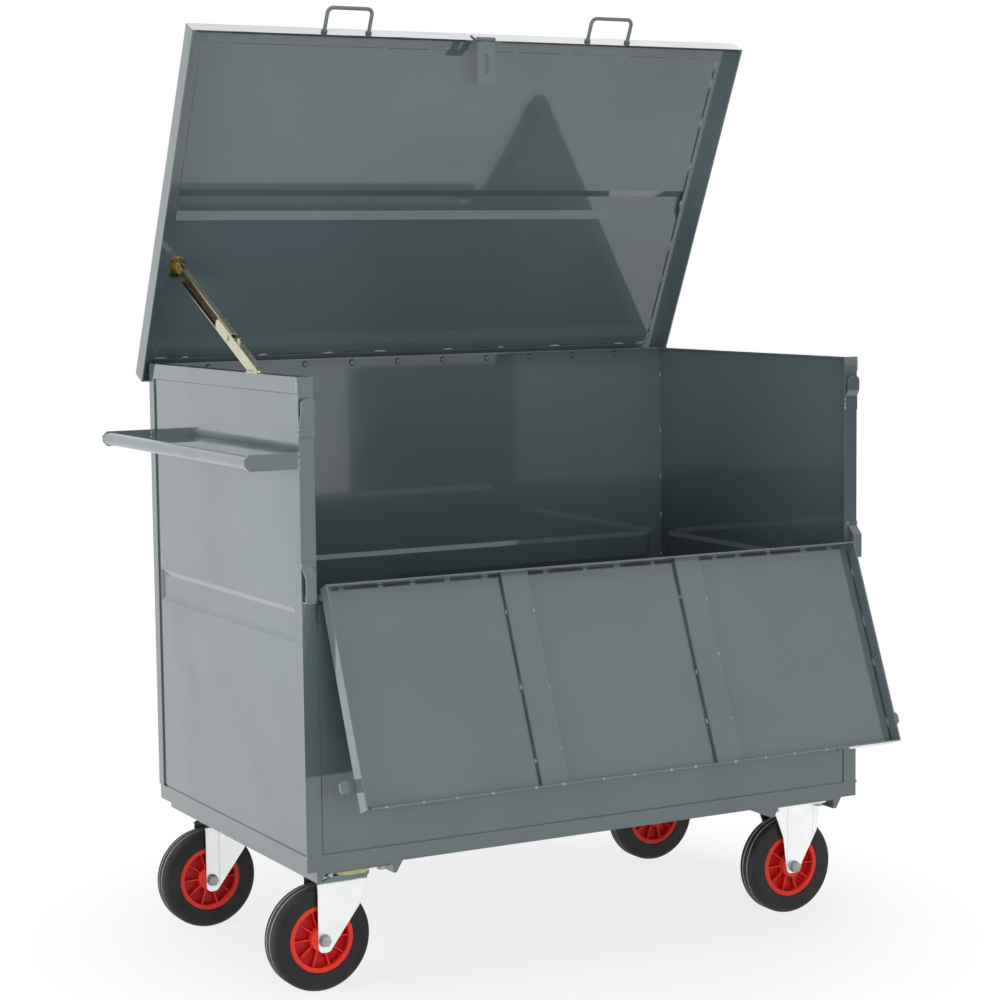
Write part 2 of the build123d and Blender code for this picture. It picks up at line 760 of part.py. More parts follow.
def hinge_rivets():
    """Rivets with low heads inside the box."""
    made = []
    z = wall_top - RIVET_DROP
    for x in hinge_rivet_spots():
        rivet = bar_y(RIVET_D / 2, back_in, BOX_WIDTH + proud + LEAF_T, x, z)
        base = plane_y(back_in) * Pos(x, z) * Circle(RIVET_HEAD_D / 2)
        head = extrude(base, amount=RIVET_HEAD_H, taper=RIVET_HEAD_TAPER)
        made.append(rivet + head)
    return group(made)


# Hasp and staple, made with lid and flap closed

hasp_y = lid_y0 - HASP_KNUCKLE_D / 2
hasp_z = lid_foot_z - HASP_KNUCKLE_D / 2 - SEAT
hasp_mid = BOX_LENGTH / 2


def hasp_mount():
    """Base on the front flange with two outer knuckles and the pin."""
    x0 = hasp_mid - HASP_W / 2
    x1 = hasp_mid + HASP_W / 2
    inner = HASP_W / 4
    mount = block(x0, x1, lid_y0 - HASP_T, lid_y0, lid_foot_z, lid_foot_z + HASP_BASE_H)
    for a, b in ((x0, hasp_mid - inner), (hasp_mid + inner, x1)):
        mount += bar_x(HASP_KNUCKLE_D / 2, a, b, hasp_y, hasp_z)
        mount += block(a, b, lid_y0 - HASP_T, lid_y0, hasp_z, lid_foot_z)
    return mount + bar_x(HASP_PIN_D / 2, x0, x1, hasp_y, hasp_z)


def hasp_strap():
    """Strap with a middle knuckle, hanging straight down, and the slot for the staple."""
    inner = HASP_W / 4 - SEAT
    y0 = hasp_y - HASP_T / 2
    y1 = hasp_y + HASP_T / 2
    shoulder = hasp_z - HASP_KNUCKLE_D / 2 - SEAT
    strap = block(hasp_mid - HASP_W / 2, hasp_mid + HASP_W / 2, y0, y1, hasp_z - HASP_LENGTH, shoulder)
    strap += block(hasp_mid - inner, hasp_mid + inner, y0, y1, shoulder, hasp_z)
    strap += bar_x(HASP_KNUCKLE_D / 2, hasp_mid - inner, hasp_mid + inner, hasp_y, hasp_z)
    strap -= bar_x(HASP_PIN_D / 2 + FIT, hasp_mid - inner, hasp_mid + inner, hasp_y, hasp_z)
    slot_top = hasp_z - SLOT_DROP
    return strap - block(hasp_mid - SLOT_W / 2, hasp_mid + SLOT_W / 2, y0, y1, slot_top - SLOT_H, slot_top)


hasp_rest = lid_point(hasp_y, hasp_z)


def hang_hasp(shape):
    """Carry the hanging strap up to the open lid."""
    return Pos(0, hasp_rest[0] - hasp_y, hasp_rest[1] - hasp_z) * shape


# Folding stay

stay_lid = (hinge_y - STAY_LID_Y, wall_top - STAY_DROP)
stay_top = lid_point(stay_lid[0], stay_lid[1])
stay_foot = (STAY_WALL_Y, wall_top - STAY_DROP)
stay_span = math.dist(stay_top, stay_foot)
stay_upper_length = stay_span - STAY_LOWER
stay_dir = ((stay_foot[0] - stay_top[0]) / stay_span, (stay_foot[1] - stay_top[1]) / stay_span)
stay_plane = Plane(origin=(STAY_X, *stay_top), x_dir=(0, *stay_dir), z_dir=(1, 0, 0))
stay_half = STAY_T / 2
stay_bracket_x = ANGLE_LEG - proud + ANGLE_T


def stay_strip(start, end, width, w0, w1):
    """Flat strip along the stay with round ends beyond the two places given."""
    outline = Pos((start + end) / 2, 0) * SlotCenterToCenter(end - start, width)
    return Pos(0, 0, w0) * extrude(outline, amount=w1 - w0)


def stay_flanges(start, end, width, w0, w1):
    """The two edges of a strip bent over, between the two places given."""
    half = width / 2
    inner = half - STAY_WALL_T
    return [block(start, end, -half, -inner, w0, w1), block(start, end, inner, half, w0, w1)]


def stay_upper_arm():
    """Channel from the lid bracket down past the knee, its open side to the handle end."""
    end = stay_upper_length + STAY_UPPER_TAIL
    arm = stay_strip(0, end - STAY_UPPER_W / 2, STAY_UPPER_W, stay_half - STAY_WALL_T, stay_half)
    arm += block(STAY_NECK, end, -STAY_UPPER_W / 2, STAY_UPPER_W / 2, stay_half - STAY_WALL_T, stay_half)
    arm += stay_flanges(STAY_NECK, end, STAY_UPPER_W, STAY_WALL_T + SEAT - stay_half, stay_half)
    for x in (0, stay_upper_length):
        arm -= bar_z(STAY_PIN_D / 2 + FIT, -stay_half, stay_half, x, 0)
    return stay_plane * arm


def stay_lower_arm():
    """Channel from the knee to the foot, flat where it laps over the upper arm, with stop and foot stud."""
    foot = stay_upper_length + STAY_LOWER
    start = stay_upper_length - STAY_LOWER_TAIL
    arm = stay_strip(start, foot, STAY_LOWER_W, -stay_half, STAY_WALL_T - stay_half)
    arm += stay_flanges(stay_upper_length + STAY_LOWER_NECK, foot, STAY_LOWER_W, -stay_half, stay_half)
    arm -= bar_z(STAY_PIN_D / 2 + FIT, -stay_half, stay_half, stay_upper_length, 0)
    reach = STAY_X - stay_bracket_x - SEAT
    head = STAY_WALL_T - stay_half
    arm += bar_z(STAY_PIN_D / 2, -reach, head, foot, 0)
    arm += bar_z(STAY_HEAD_D / 2, head, head + STAY_HEAD_H, foot, 0)
    edge = STAY_WALL_T - STAY_LOWER_W / 2
    stud = edge - STAY_WALL_T - STAY_STUD_OUT
    arm += bar_y(STAY_STUD_D / 2, stud, edge, stay_upper_length + STAY_STUD_PLACE, 0)
    return stay_plane * arm


def stay_rivet():
    """Rivet through the knee of the stay, with a collar between the two strips."""
    head = stay_half + SEAT
    collar = stay_half - STAY_WALL_T
    rivet = bar_z(STAY_PIN_D / 2, -head, stay_half, stay_upper_length, 0)
    rivet += bar_z(STAY_HEAD_D / 2, stay_half, stay_half + STAY_HEAD_H, stay_upper_length, 0)
    rivet += bar_z(STAY_HEAD_D / 2, SEAT - collar, collar, stay_upper_length, 0)
    rivet += bar_z(STAY_HEAD_D / 2, -head - STAY_HEAD_H, -head, stay_upper_length, 0)
    return stay_plane * rivet


def stay_lid_bracket():
    """Rounded base on the lid sheet with an ear and the upper pin, made with the lid closed."""
    y, z = stay_lid
    base_z = lid_sheet_z - STAY_WALL_T
    base = Pos(STAY_X, y, base_z) * RectangleRounded(STAY_BASE_W, STAY_BASE_L, STAY_BASE_R)
    bracket = extrude(base, amount=STAY_WALL_T)
    x0 = STAY_X
    x1 = STAY_X + stay_half - STAY_WALL_T - SEAT
    ear_r = STAY_EAR_D / 2
    bracket += block(x0, x1, y - ear_r, y + ear_r, z, base_z)
    bracket += bar_x(ear_r, x0, x1, y, z)
    head = STAY_X + stay_half + SEAT
    bracket += bar_x(STAY_PIN_D / 2, x0, head, y, z)
    return bracket + bar_x(STAY_HEAD_D / 2, head, head + STAY_HEAD_H, y, z)


def stay_wall_bracket():
    """Plate on the inner edge of the left rim that faces the foot of the stay."""
    y, z = stay_foot
    half = STAY_FOOT_L / 2
    return block(ANGLE_LEG - proud, stay_bracket_x, y - half, y + half, wall_top - ANGLE_LEG,
                 wall_top + STAY_FOOT_RISE)


# Front flap, made closed and then dropped about its pins

pin_r = FLAP_PIN_D / 2
pin_y = -STRAP_GAP / 2
flap_z = sill_z + FLAP_SILL_GAP
pin_z = flap_z + PIN_TO_EDGE
sleeve_r = pin_r + FIT + SLEEVE_WALL
flap_y = pin_y + sleeve_r - SLEEVE_SINK
flap_x0 = ANGLE_LEG + FLAP_SIDE_GAP
flap_x1 = BOX_LENGTH - flap_x0
flap_top = wall_top - FLAP_TOP_GAP
flap_skin = flap_y + ANGLE_T
flap_inside = flap_skin + SHEET_T
tab_z = flap_top - TAB_TO_EDGE - TAB_W


def drop_flap(shape):
    """Turn a piece of the closed flap to where the flap hangs open."""
    return Pos(0, pin_y, pin_z) * Rot(FLAP_SWING, 0, 0) * Pos(0, -pin_y, -pin_z) * shape


def flap_frame():
    """Angle frame of the flap: flat legs outside, flanges in, pin sleeves on the lower bar."""
    y0 = flap_y
    y1 = flap_y + ANGLE_LEG
    lower = prism_x([(y0, flap_z), (y1, flap_z), (y1, flap_z + ANGLE_T), (flap_skin, flap_z + ANGLE_T),
                     (flap_skin, flap_z + ANGLE_LEG), (y0, flap_z + ANGLE_LEG)], flap_x0, flap_x1)
    upper = lower.mirror(Plane.XY.offset((flap_z + flap_top) / 2))
    side = block(flap_x0, flap_x0 + ANGLE_T, y0, y1, flap_z + ANGLE_LEG, flap_top - ANGLE_LEG)
    side += block(flap_x0, flap_x0 + ANGLE_T, flap_skin, y1, flap_z + ANGLE_T, flap_top - ANGLE_T)
    side += block(flap_x0, flap_x0 + ANGLE_LEG, y0, flap_skin, flap_z + ANGLE_LEG, flap_top - ANGLE_LEG)
    sleeve = bar_x(sleeve_r, flap_x0, flap_x0 + SLEEVE_LENGTH, pin_y, pin_z)
    bore = bar_x(pin_r + FIT, flap_x0, flap_x0 + SLEEVE_LENGTH, pin_y, pin_z)
    lower = lower + sleeve + across_x(sleeve) - bore - across_x(bore)
    return group([lower, upper, side, across_x(side)])


def flap_sheet():
    """Flap sheet inside the frame."""
    x0 = flap_x0 + ANGLE_T
    x1 = flap_x1 - ANGLE_T
    return block(x0, x1, flap_skin, flap_inside, flap_z + ANGLE_T, flap_top - ANGLE_T)


def flap_stiffeners():
    """Two shallow hat strips up the inside of the flap."""
    made = []
    half = STIFFENER_W / 2
    crest = flap_inside + STIFFENER_H
    z0 = flap_z + ANGLE_T
    z1 = flap_top - ANGLE_T
    for i in (-1, 1):
        x = BOX_LENGTH / 2 + i * STIFFENER_SPREAD / 2
        hat = block(x - half, x + half, flap_inside, crest, z0, z1)
        hat -= block(x - half + SHEET_T, x + half - SHEET_T, flap_inside, crest - SHEET_T, z0, z1)
        made.append(hat)
    return group(made)


def flap_tabs():
    """Tabs past the ends of the flap that drop into the catches."""
    x0 = flap_x0 - TAB_REACH
    tab = block(x0, flap_x0 + ANGLE_LEG, flap_y - TAB_T, flap_y, tab_z, tab_z + TAB_W)
    corners = tab.edges().filter_by(Axis.Y).group_by(Axis.X)[0]
    return both_ends(fillet(corners, TAB_CORNER))


def flap_handles():
    """Two pull handles on the outside; with the flap down they rest against the front panel."""
    lean = math.radians(180 - FLAP_SWING)
    rod_y = flap_skin - FLAP_HANDLE_OUT
    reach = (pin_y - rod_y) * math.cos(lean) + pin_y - panel_out + SEAT + ROD_D / 2
    z = pin_z + reach / math.sin(lean)
    places = [BOX_LENGTH / 2 + i * FLAP_HANDLE_SPREAD / 2 for i in (-1, 1)]
    return group([pull_handle(x, flap_skin, z, FLAP_HANDLE_OUT) for x in places])


def flap_staple():
    """Plate ear with a padlock hole, standing out through the slot of the closed hasp."""
    middle = hasp_z - SLOT_DROP - SLOT_H / 2
    half = STAPLE_BASE / 2
    out = flap_skin - STAPLE_OUT
    staple = block(hasp_mid - half, hasp_mid + half, flap_y, flap_skin, middle - half, middle + half)
    staple += block(hasp_mid - STAPLE_T / 2, hasp_mid + STAPLE_T / 2, out, flap_y,
                    middle - STAPLE_H / 2, middle + STAPLE_H / 2)
    hole_y = out + SHACKLE_EDGE
    return staple - bar_x(SHACKLE_D / 2, hasp_mid - STAPLE_T / 2, hasp_mid + STAPLE_T / 2, hole_y, middle)


def flap_pins():
    """Two pins in the sleeves, reaching out into the straps, cross-drilled for the clips."""
    x0 = STRAP_INSET + STRAP_T
    pin = bar_x(pin_r, x0, x0 + FLAP_PIN_LENGTH, pin_y, pin_z)
    pin -= bar_z(CLIP_WIRE_D / 2 + FIT, pin_z - pin_r, pin_z + pin_r, clip_x, pin_y)
    return both_ends(pin)


clip_x = (STRAP_INSET + STRAP_W + flap_x0) / 2


def r_clips():
    """Spring clips through the pins, between strap and flap."""
    over = pin_r + CLIP_WIRE_D
    hug = pin_y - pin_r - CLIP_WIRE_D
    points = [(pin_y, pin_z + over), (pin_y, pin_z - CLIP_LENGTH), (pin_y - CLIP_W, pin_z - CLIP_LENGTH),
              (hug, pin_z - over), (hug, pin_z), (hug + CLIP_WIRE_D / 2, pin_z + over)]
    path = FilletPolyline(*[(clip_x, y, z) for y, z in points], radius=CLIP_WIRE_D)
    start = Plane(origin=(clip_x, pin_y, pin_z + over), z_dir=(0, 0, -1))
    return both_ends(sweep(start * Circle(CLIP_WIRE_D / 2), path=path))


def pivot_straps():
    """Bent straps on the posts: the pin sits low in the loop and can be lifted."""
    low = pin_z - pin_r - SEAT - STRAP_T / 2
    high = pin_z + FLAP_LIFT + pin_r + STRAP_TOP_PLAY + STRAP_T
    out = -STRAP_GAP - STRAP_T / 2
    path = [(0, low), (out, low), (out, high - STRAP_T), (-STRAP_T / 2, high + STRAP_GAP - STRAP_T),
            (-STRAP_T / 2, high + STRAP_GAP - STRAP_T + STRAP_PAD)]
    return both_ends(prism_x(strip(path, STRAP_T), STRAP_INSET, STRAP_INSET + STRAP_W))


def flap_catches():
    """Strips welded to the posts whose upper half is bent out to take the flap's tabs."""
    mouth = flap_y - TAB_T - CATCH_FRONT_GAP - CATCH_T / 2
    seat = tab_z - CATCH_SEAT_GAP
    path = [(-CATCH_T / 2, seat - CATCH_RAMP - CATCH_PAD), (-CATCH_T / 2, seat - CATCH_RAMP), (mouth, seat),
            (mouth, seat + CATCH_MOUTH)]
    x0 = (ANGLE_LEG - CATCH_W) / 2
    catch = prism_x(strip(path, CATCH_T), x0, x0 + CATCH_W)
    corners = catch.edges().filter_by(Axis.Y).group_by(Axis.Z)[-1]
    return both_ends(fillet(corners, CATCH_CORNER))


# All pieces by name, in their places

left_wall = side_panel_left()
nodes = {
    "base_rails": base_rails(),
    "castor_channels": castor_channels(),
    "floor_plate": floor_plate(),
    "front_posts": front_posts(),
    "rear_posts": rear_posts(),
    "side_panel_left": left_wall,
    "side_panel_right": across_x(left_wall),
    "back_panel": back_panel(),
    "front_panel": front_panel(),
    "front_sill": front_sill(),
    "top_rims": top_rims(),
    "pivot_straps": pivot_straps(),
    "flap_catches": flap_catches(),
    "handle_arms": handle_arms(),
    "handle_bar": handle_bar(),
    "hinge_box_leaf": hinge_box_leaf(),
    "hinge_pin": hinge_pin(),
    "hinge_rivets": hinge_rivets(),
    "stay_wall_bracket": stay_wall_bracket(),
    "castor_bolts": group([plate_bolt(*bolt) for spot in spots for bolt in plate_bolts(*spot)]),
    "swivel_plates": group([Pos(x, y, 0) * swivel_plate() for x, y in swivel_spots]),
    "swivel_races": group([Pos(x, y, 0) * swivel_race() for x, y in swivel_spots]),
    "kingpins": group([Pos(x, y, 0) * kingpin() for x, y in swivel_spots]),
    "fixed_forks": group([Pos(x, y, 0) * fixed_fork() for x, y in fixed_spots]),
    "fixed_axles": group([place * axle() for place in wheel_places[2:]]),
    "lid_sheet": open_lid(lid_sheet()),
    "lid_frame": open_lid(lid_frame()),
    "lid_handles": open_lid(lid_handles()),
    "hinge_lid_leaf": open_lid(hinge_lid_leaf()),
    "stay_lid_bracket": open_lid(stay_lid_bracket()),
    "hasp_mount": open_lid(hasp_mount()),
    "hasp_strap": hang_hasp(hasp_strap()),
    "stay_upper_arm": stay_upper_arm(),
    "stay_rivet": stay_rivet(),
    "stay_lower_arm": stay_lower_arm(),
    "flap_pins": flap_pins(),
    "r_clips": r_clips(),
    "flap_sheet": drop_flap(flap_sheet()),
    "flap_frame": drop_flap(flap_frame()),
    "flap_stiffeners": drop_flap(flap_stiffeners()),
    "flap_tabs": drop_flap(flap_tabs()),
    "flap_handles": drop_flap(flap_handles()),
    "flap_staple": drop_flap(flap_staple()),
}
for (x, y), end in zip(swivel_spots, ("front", "rear")):
    nodes["swivel_fork_" + end] = Pos(x, y, 0) * swivel_fork()
    nodes["swivel_axle_" + end] = Pos(x - CASTOR_TRAIL, y, axle_z) * axle()
for place, corner in zip(wheel_places, wheel_names):
    nodes["tyre_" + corner] = place * tyre()
    nodes["wheel_centre_" + corner] = place * wheel_centre()
    nodes["wheel_bearing_" + corner] = place * wheel_bearing()

# Origin at floor level, in the middle of the whole outline
limits = [shape.bounding_box() for shape in nodes.values()]
centre_x = (min(box.min.X for box in limits) + max(box.max.X for box in limits)) / 2
centre_y = (min(box.min.Y for box in limits) + max(box.max.Y for box in limits)) / 2
for name, shape in nodes.items():
    nodes[name] = Pos(-centre_x, -centre_y, 0) * shape
    export_step(nodes[name], "parts/" + name + ".step")
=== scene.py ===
import json
import math

import bpy
import numpy as np
from mathutils import Matrix, Vector


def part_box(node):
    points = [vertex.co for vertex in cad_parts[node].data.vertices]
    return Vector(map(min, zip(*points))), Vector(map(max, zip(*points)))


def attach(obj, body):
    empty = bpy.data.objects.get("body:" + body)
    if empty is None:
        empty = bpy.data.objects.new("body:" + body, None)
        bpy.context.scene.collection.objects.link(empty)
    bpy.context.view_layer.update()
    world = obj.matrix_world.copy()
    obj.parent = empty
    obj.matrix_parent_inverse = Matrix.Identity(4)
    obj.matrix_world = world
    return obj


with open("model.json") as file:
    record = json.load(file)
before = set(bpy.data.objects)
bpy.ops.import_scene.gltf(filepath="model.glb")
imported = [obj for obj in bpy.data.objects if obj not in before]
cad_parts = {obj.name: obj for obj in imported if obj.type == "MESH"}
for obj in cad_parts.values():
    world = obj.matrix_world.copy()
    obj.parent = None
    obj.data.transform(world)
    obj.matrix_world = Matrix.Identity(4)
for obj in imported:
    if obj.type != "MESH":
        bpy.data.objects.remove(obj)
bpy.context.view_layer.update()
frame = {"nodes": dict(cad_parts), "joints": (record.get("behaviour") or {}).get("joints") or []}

nodes = frame["nodes"]
joints = {joint["name"]: joint for joint in frame["joints"]}

# Camera: it stands where the photograph was taken, left of the front and a little above the box.
# Its place is measured from the front left corner of the base rails.
RAIL_LOW, RAIL_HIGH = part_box("base_rails")
CAMERA_FROM_CORNER = (-1.7789, -3.9963, 1.3558)
CAMERA_YAW, CAMERA_PITCH, CAMERA_ROLL = math.radians(28.71), math.radians(5.73), math.radians(0.66)
LENS_MM, SENSOR_MM = 87.79, 36.0
CLIP_END = 60

camera = bpy.data.objects.new("camera", bpy.data.cameras.new("camera"))
camera.data.lens = LENS_MM
camera.data.sensor_width = SENSOR_MM
camera.data.clip_end = CLIP_END
turn = Matrix.Rotation(-CAMERA_YAW, 4, "Z") @ Matrix.Rotation(math.pi / 2 - CAMERA_PITCH, 4, "X")
turn = turn @ Matrix.Rotation(-CAMERA_ROLL, 4, "Z")
corner = Vector((RAIL_LOW.x, RAIL_LOW.y, 0))
camera.matrix_world = Matrix.Translation(corner + Vector(CAMERA_FROM_CORNER)) @ turn
bpy.context.scene.collection.objects.link(camera)
bpy.context.scene.camera = camera
bpy.context.scene.view_settings.view_transform = "Standard"


# Studio floor and air: white paper that runs out into a white background and keeps a soft shadow.
# Seen directly or in a glossy face it is white; as a light on the trolley it is plain paper.
class Shade:
    """A value in a node tree: sums and products written on it add Math nodes."""

    def __init__(self, tree, socket):
        self.tree = tree
        self.socket = socket

    def maths(self, operation, a, b=0.0):
        node = self.tree.nodes.new("ShaderNodeMath")
        node.operation = operation
        plug(self.tree, node.inputs[0], a)
        plug(self.tree, node.inputs[1], b)
        return Shade(self.tree, node.outputs[0])

    def __add__(self, other):
        return self.maths("ADD", self, other)

    def __mul__(self, other):
        return self.maths("MULTIPLY", self, other)

    def __sub__(self, other):
        return self.maths("SUBTRACT", self, other)

    def __rsub__(self, other):
        return self.maths("SUBTRACT", other, self)

    def least(self, other):
        return self.maths("MINIMUM", self, other)

    def size(self):
        return self.maths("ABSOLUTE", self)

    def root(self):
        return self.maths("SQRT", self)

    __radd__ = __add__
    __rmul__ = __mul__


def plug(tree, socket, value):
    """Link a Shade to a socket, or set the socket to a number, colour or vector."""
    if isinstance(value, Shade):
        tree.links.new(value.socket, socket)
    elif value is not None:
        if isinstance(value, tuple) and len(value) == 3 and socket.type == "RGBA":
            value = (*value, 1.0)
        socket.default_value = value


class Finish:
    """A procedural material: nodes are added by kind, settings first, then sockets."""

    def __init__(self, name, tree=None):
        if tree is None:
            self.material = bpy.data.materials.new(name)
            self.material.use_nodes = True
            tree = self.material.node_tree
        self.tree = tree
        self.shader = tree.nodes.get("Principled BSDF")
        self.place = self.node("ShaderNodeTexCoord", out="Object")

    def node(self, kind, settings=None, sockets=None, out=0):
        node = self.tree.nodes.new(kind)
        for key, value in (settings or {}).items():
            setattr(node, key, value)
        for key, value in (sockets or {}).items():
            plug(self.tree, node.inputs[key], value)
        return Shade(self.tree, node.outputs[out])

    def noise(self, per_metre, detail=3.0, rough=0.5):
        sockets = {"Vector": self.place, "Scale": per_metre, "Detail": detail, "Roughness": rough}
        return self.node("ShaderNodeTexNoise", sockets=sockets)

    def ramp(self, value, low, high, to_low=0.0, to_high=1.0):
        sockets = {0: value, 1: low, 2: high, 3: to_low, 4: to_high}
        return self.node("ShaderNodeMapRange", {"interpolation_type": "SMOOTHSTEP"}, sockets)

    def patches(self, per_metre, low, high, detail=3.0, rough=0.5, to_low=0.0, to_high=1.0):
        """Soft-edged patches: a noise that passes from one value to another between two levels."""
        return self.ramp(self.noise(per_metre, detail, rough), low, high, to_low, to_high)

    def blend(self, amount, a, b):
        return self.node("ShaderNodeMix", {"data_type": "RGBA"}, {0: amount, 6: a, 7: b}, out=2)

    def axis(self, name, place=None):
        return self.node("ShaderNodeSeparateXYZ", sockets={0: place or self.place}, out=name)

    def moved(self, location):
        """The place with a point taken to zero."""
        sockets = {"Vector": self.place, "Location": tuple(-a for a in location)}
        return self.node("ShaderNodeMapping", sockets=sockets)

    def rounded(self, radius):
        """The normal as it would be if every sharp edge were rounded off."""
        return self.node("ShaderNodeBevel", {"samples": 4}, {"Radius": radius})

    def edges(self, rounded, low, high):
        """One at sharp edges, zero on flat faces: how far the rounded normal leans from the flat one."""
        flat = self.node("ShaderNodeNewGeometry", out="Normal")
        sockets = {0: rounded, 1: flat}
        along = self.node("ShaderNodeVectorMath", {"operation": "DOT_PRODUCT"}, sockets, out="Value")
        return self.ramp(1.0 - along, low, high)

    def bump(self, height, strength, distance, normal=None):
        sockets = {"Height": height, "Strength": strength, "Distance": distance, "Normal": normal}
        return self.node("ShaderNodeBump", sockets=sockets)

    def put(self, **sockets):
        for key, value in sockets.items():
            plug(self.tree, self.shader.inputs[key.replace("_", " ")], value)
        return self.material

    def seen(self):
        """One for rays of the camera, mirrors and glass, zero for the light that falls on things."""
        paths = [self.node("ShaderNodeLightPath", out="Is " + ray + " Ray")
                 for ray in ("Camera", "Glossy", "Transmission")]
        return (paths[0] + paths[1] + paths[2]).least(1.0)


def stand(name, corners, finish):
    """A flat four-cornered sheet of the studio, which is no part of the trolley."""
    sheet = bpy.data.meshes.new(name)
    sheet.from_pydata(corners, [], [(0, 1, 2, 3)])
    sheet.materials.append(finish.material)
    piece = bpy.data.objects.new(name, sheet)
    bpy.context.scene.collection.objects.link(piece)
    return piece


FLOOR_REACH = 14.0
FLOOR_TONE, PAPER_WHITE = (0.88, 0.88, 0.88), (1.0, 1.0, 1.0)
MATT, PAPER_SHEEN = 0.9, 0.1
SHADOW_SHARE = 0.20
SHADOW_NEAR, SHADOW_FAR = 0.55, 1.05
paper = Finish("floor_paper")
paper.put(Base_Color=FLOOR_TONE, Roughness=MATT, Specular_IOR_Level=PAPER_SHEEN)
away = paper.node("ShaderNodeVectorMath", {"operation": "LENGTH"}, {0: paper.place}, out="Value")
white = paper.seen() * paper.ramp(away, SHADOW_NEAR, SHADOW_FAR, 1.0 - SHADOW_SHARE, 1.0)
lit = Shade(paper.tree, paper.shader.outputs[0])
glow = paper.node("ShaderNodeEmission", sockets={"Color": PAPER_WHITE, "Strength": 1.0})
mixed = paper.node("ShaderNodeMixShader", sockets={0: white, 1: lit, 2: glow})
plug(paper.tree, paper.tree.nodes["Material Output"].inputs["Surface"], mixed)
stand("floor", [(-FLOOR_REACH, -FLOOR_REACH, 0), (FLOOR_REACH, -FLOOR_REACH, 0),
                (FLOOR_REACH, FLOOR_REACH, 0), (-FLOOR_REACH, FLOOR_REACH, 0)], paper)

WORLD_LIGHT = 0.22
world = bpy.data.worlds.new("studio")
bpy.context.scene.world = world
world.use_nodes = True
air = Finish("studio_air", world.node_tree)
backdrop = world.node_tree.nodes["Background"]
plug(air.tree, backdrop.inputs["Color"], PAPER_WHITE)
plug(air.tree, backdrop.inputs["Strength"], air.seen() * (1.0 - WORLD_LIGHT) + WORLD_LIGHT)

# Black flag: a low dark cloth far in front, right of the camera, of the kind a studio uses. It shows
# only as the dark part of what the inner back wall mirrors and keeps no light from the trolley.
FLAG_LEFT, FLAG_RIGHT, FLAG_AWAY, FLAG_TALL = 2.9, 9.0, -6.0, 0.8
CLOTH_BLACK, CLOTH_WORN = (0.010, 0.010, 0.010), (0.020, 0.019, 0.019)
cloth = Finish("flag_cloth")
cloth.put(Base_Color=cloth.blend(cloth.noise(per_metre=30.0), CLOTH_BLACK, CLOTH_WORN), Roughness=MATT)
flag = stand("flag", [(FLAG_LEFT, FLAG_AWAY, 0), (FLAG_RIGHT, FLAG_AWAY, 0),
                      (FLAG_RIGHT, FLAG_AWAY, FLAG_TALL), (FLAG_LEFT, FLAG_AWAY, FLAG_TALL)], cloth)
flag.visible_camera = flag.visible_diffuse = flag.visible_shadow = False


# Soft boxes: a large one on the left that lights the handle end, one above, a wide one in front and a
# small one high behind the right end. Only the last shows as a shape, in the lid's front flange.
def lamp(name, at, aim, size, power, mirrored):
    """A rectangular soft box at one point, aimed at another, that shows in glossy faces or not."""
    light = bpy.data.lights.new(name, "AREA")
    light.shape = "RECTANGLE"
    light.size, light.size_y = size
    light.energy = power
    piece = bpy.data.objects.new(name, light)
    way = Vector(at) - Vector(aim)
    piece.matrix_world = Matrix.Translation(at) @ way.to_track_quat("Z", "Y").to_matrix().to_4x4()
    piece.visible_glossy = mirrored
    bpy.context.scene.collection.objects.link(piece)


lamp("left_softbox", at=(-4.2, -0.6, 1.3), aim=(0, 0, 0.9), size=(2.4, 2.2), power=118, mirrored=False)
lamp("top_softbox", at=(0.3, -1.4, 4.4), aim=(0, 0, 0.6), size=(3.0, 2.4), power=40, mirrored=False)
lamp("front_fill", at=(-0.9, -5.0, 1.1), aim=(0, 0, 1.1), size=(2.6, 1.8), power=98, mirrored=False)
lamp("lid_edge_softbox", at=(1.95, 2.6, 4.3), aim=(1.95, 0.1, 1.8), size=(3.2, 1.2), power=12, mirrored=True)

# Welded box: folded mild-steel sheet on angle posts and rails, all in one glossy blue-grey stove
# enamel, with faint orange peel, slightly wavy sheets and sharp edges painted paler as a painted highlight.
MM = 0.001
ENAMEL_TONE = (0.094, 0.128, 0.138)
DRIFT_DARK, DRIFT_PALE = 0.93, 1.07
EDGE_RADIUS, EDGE_HIGHLIGHT_PALE, EDGE_HIGHLIGHT_LIFT, EDGE_HIGHLIGHT_SHARE = 1.4 * MM, 1.7, 0.02, 0.55
NIB_DARK, NIB_SHARE, NIB_ROUGH, NIB_RISE = 0.6, 0.35, 0.12, 2.0
GLOSS_ROUGH, SMEAR_ROUGH = 0.07, 0.08
COAT_FULL, COAT_SMEAR, COAT_ROUGH = 0.95, 0.2, 0.03
WAVE_HEIGHT, PEEL_HEIGHT, PEEL_STRENGTH = 2.2 * MM, 0.04 * MM, 0.35


def tinted(tone, share, lift=0.0):
    """A colour made darker or paler."""
    return tuple(c * share + lift for c in tone)


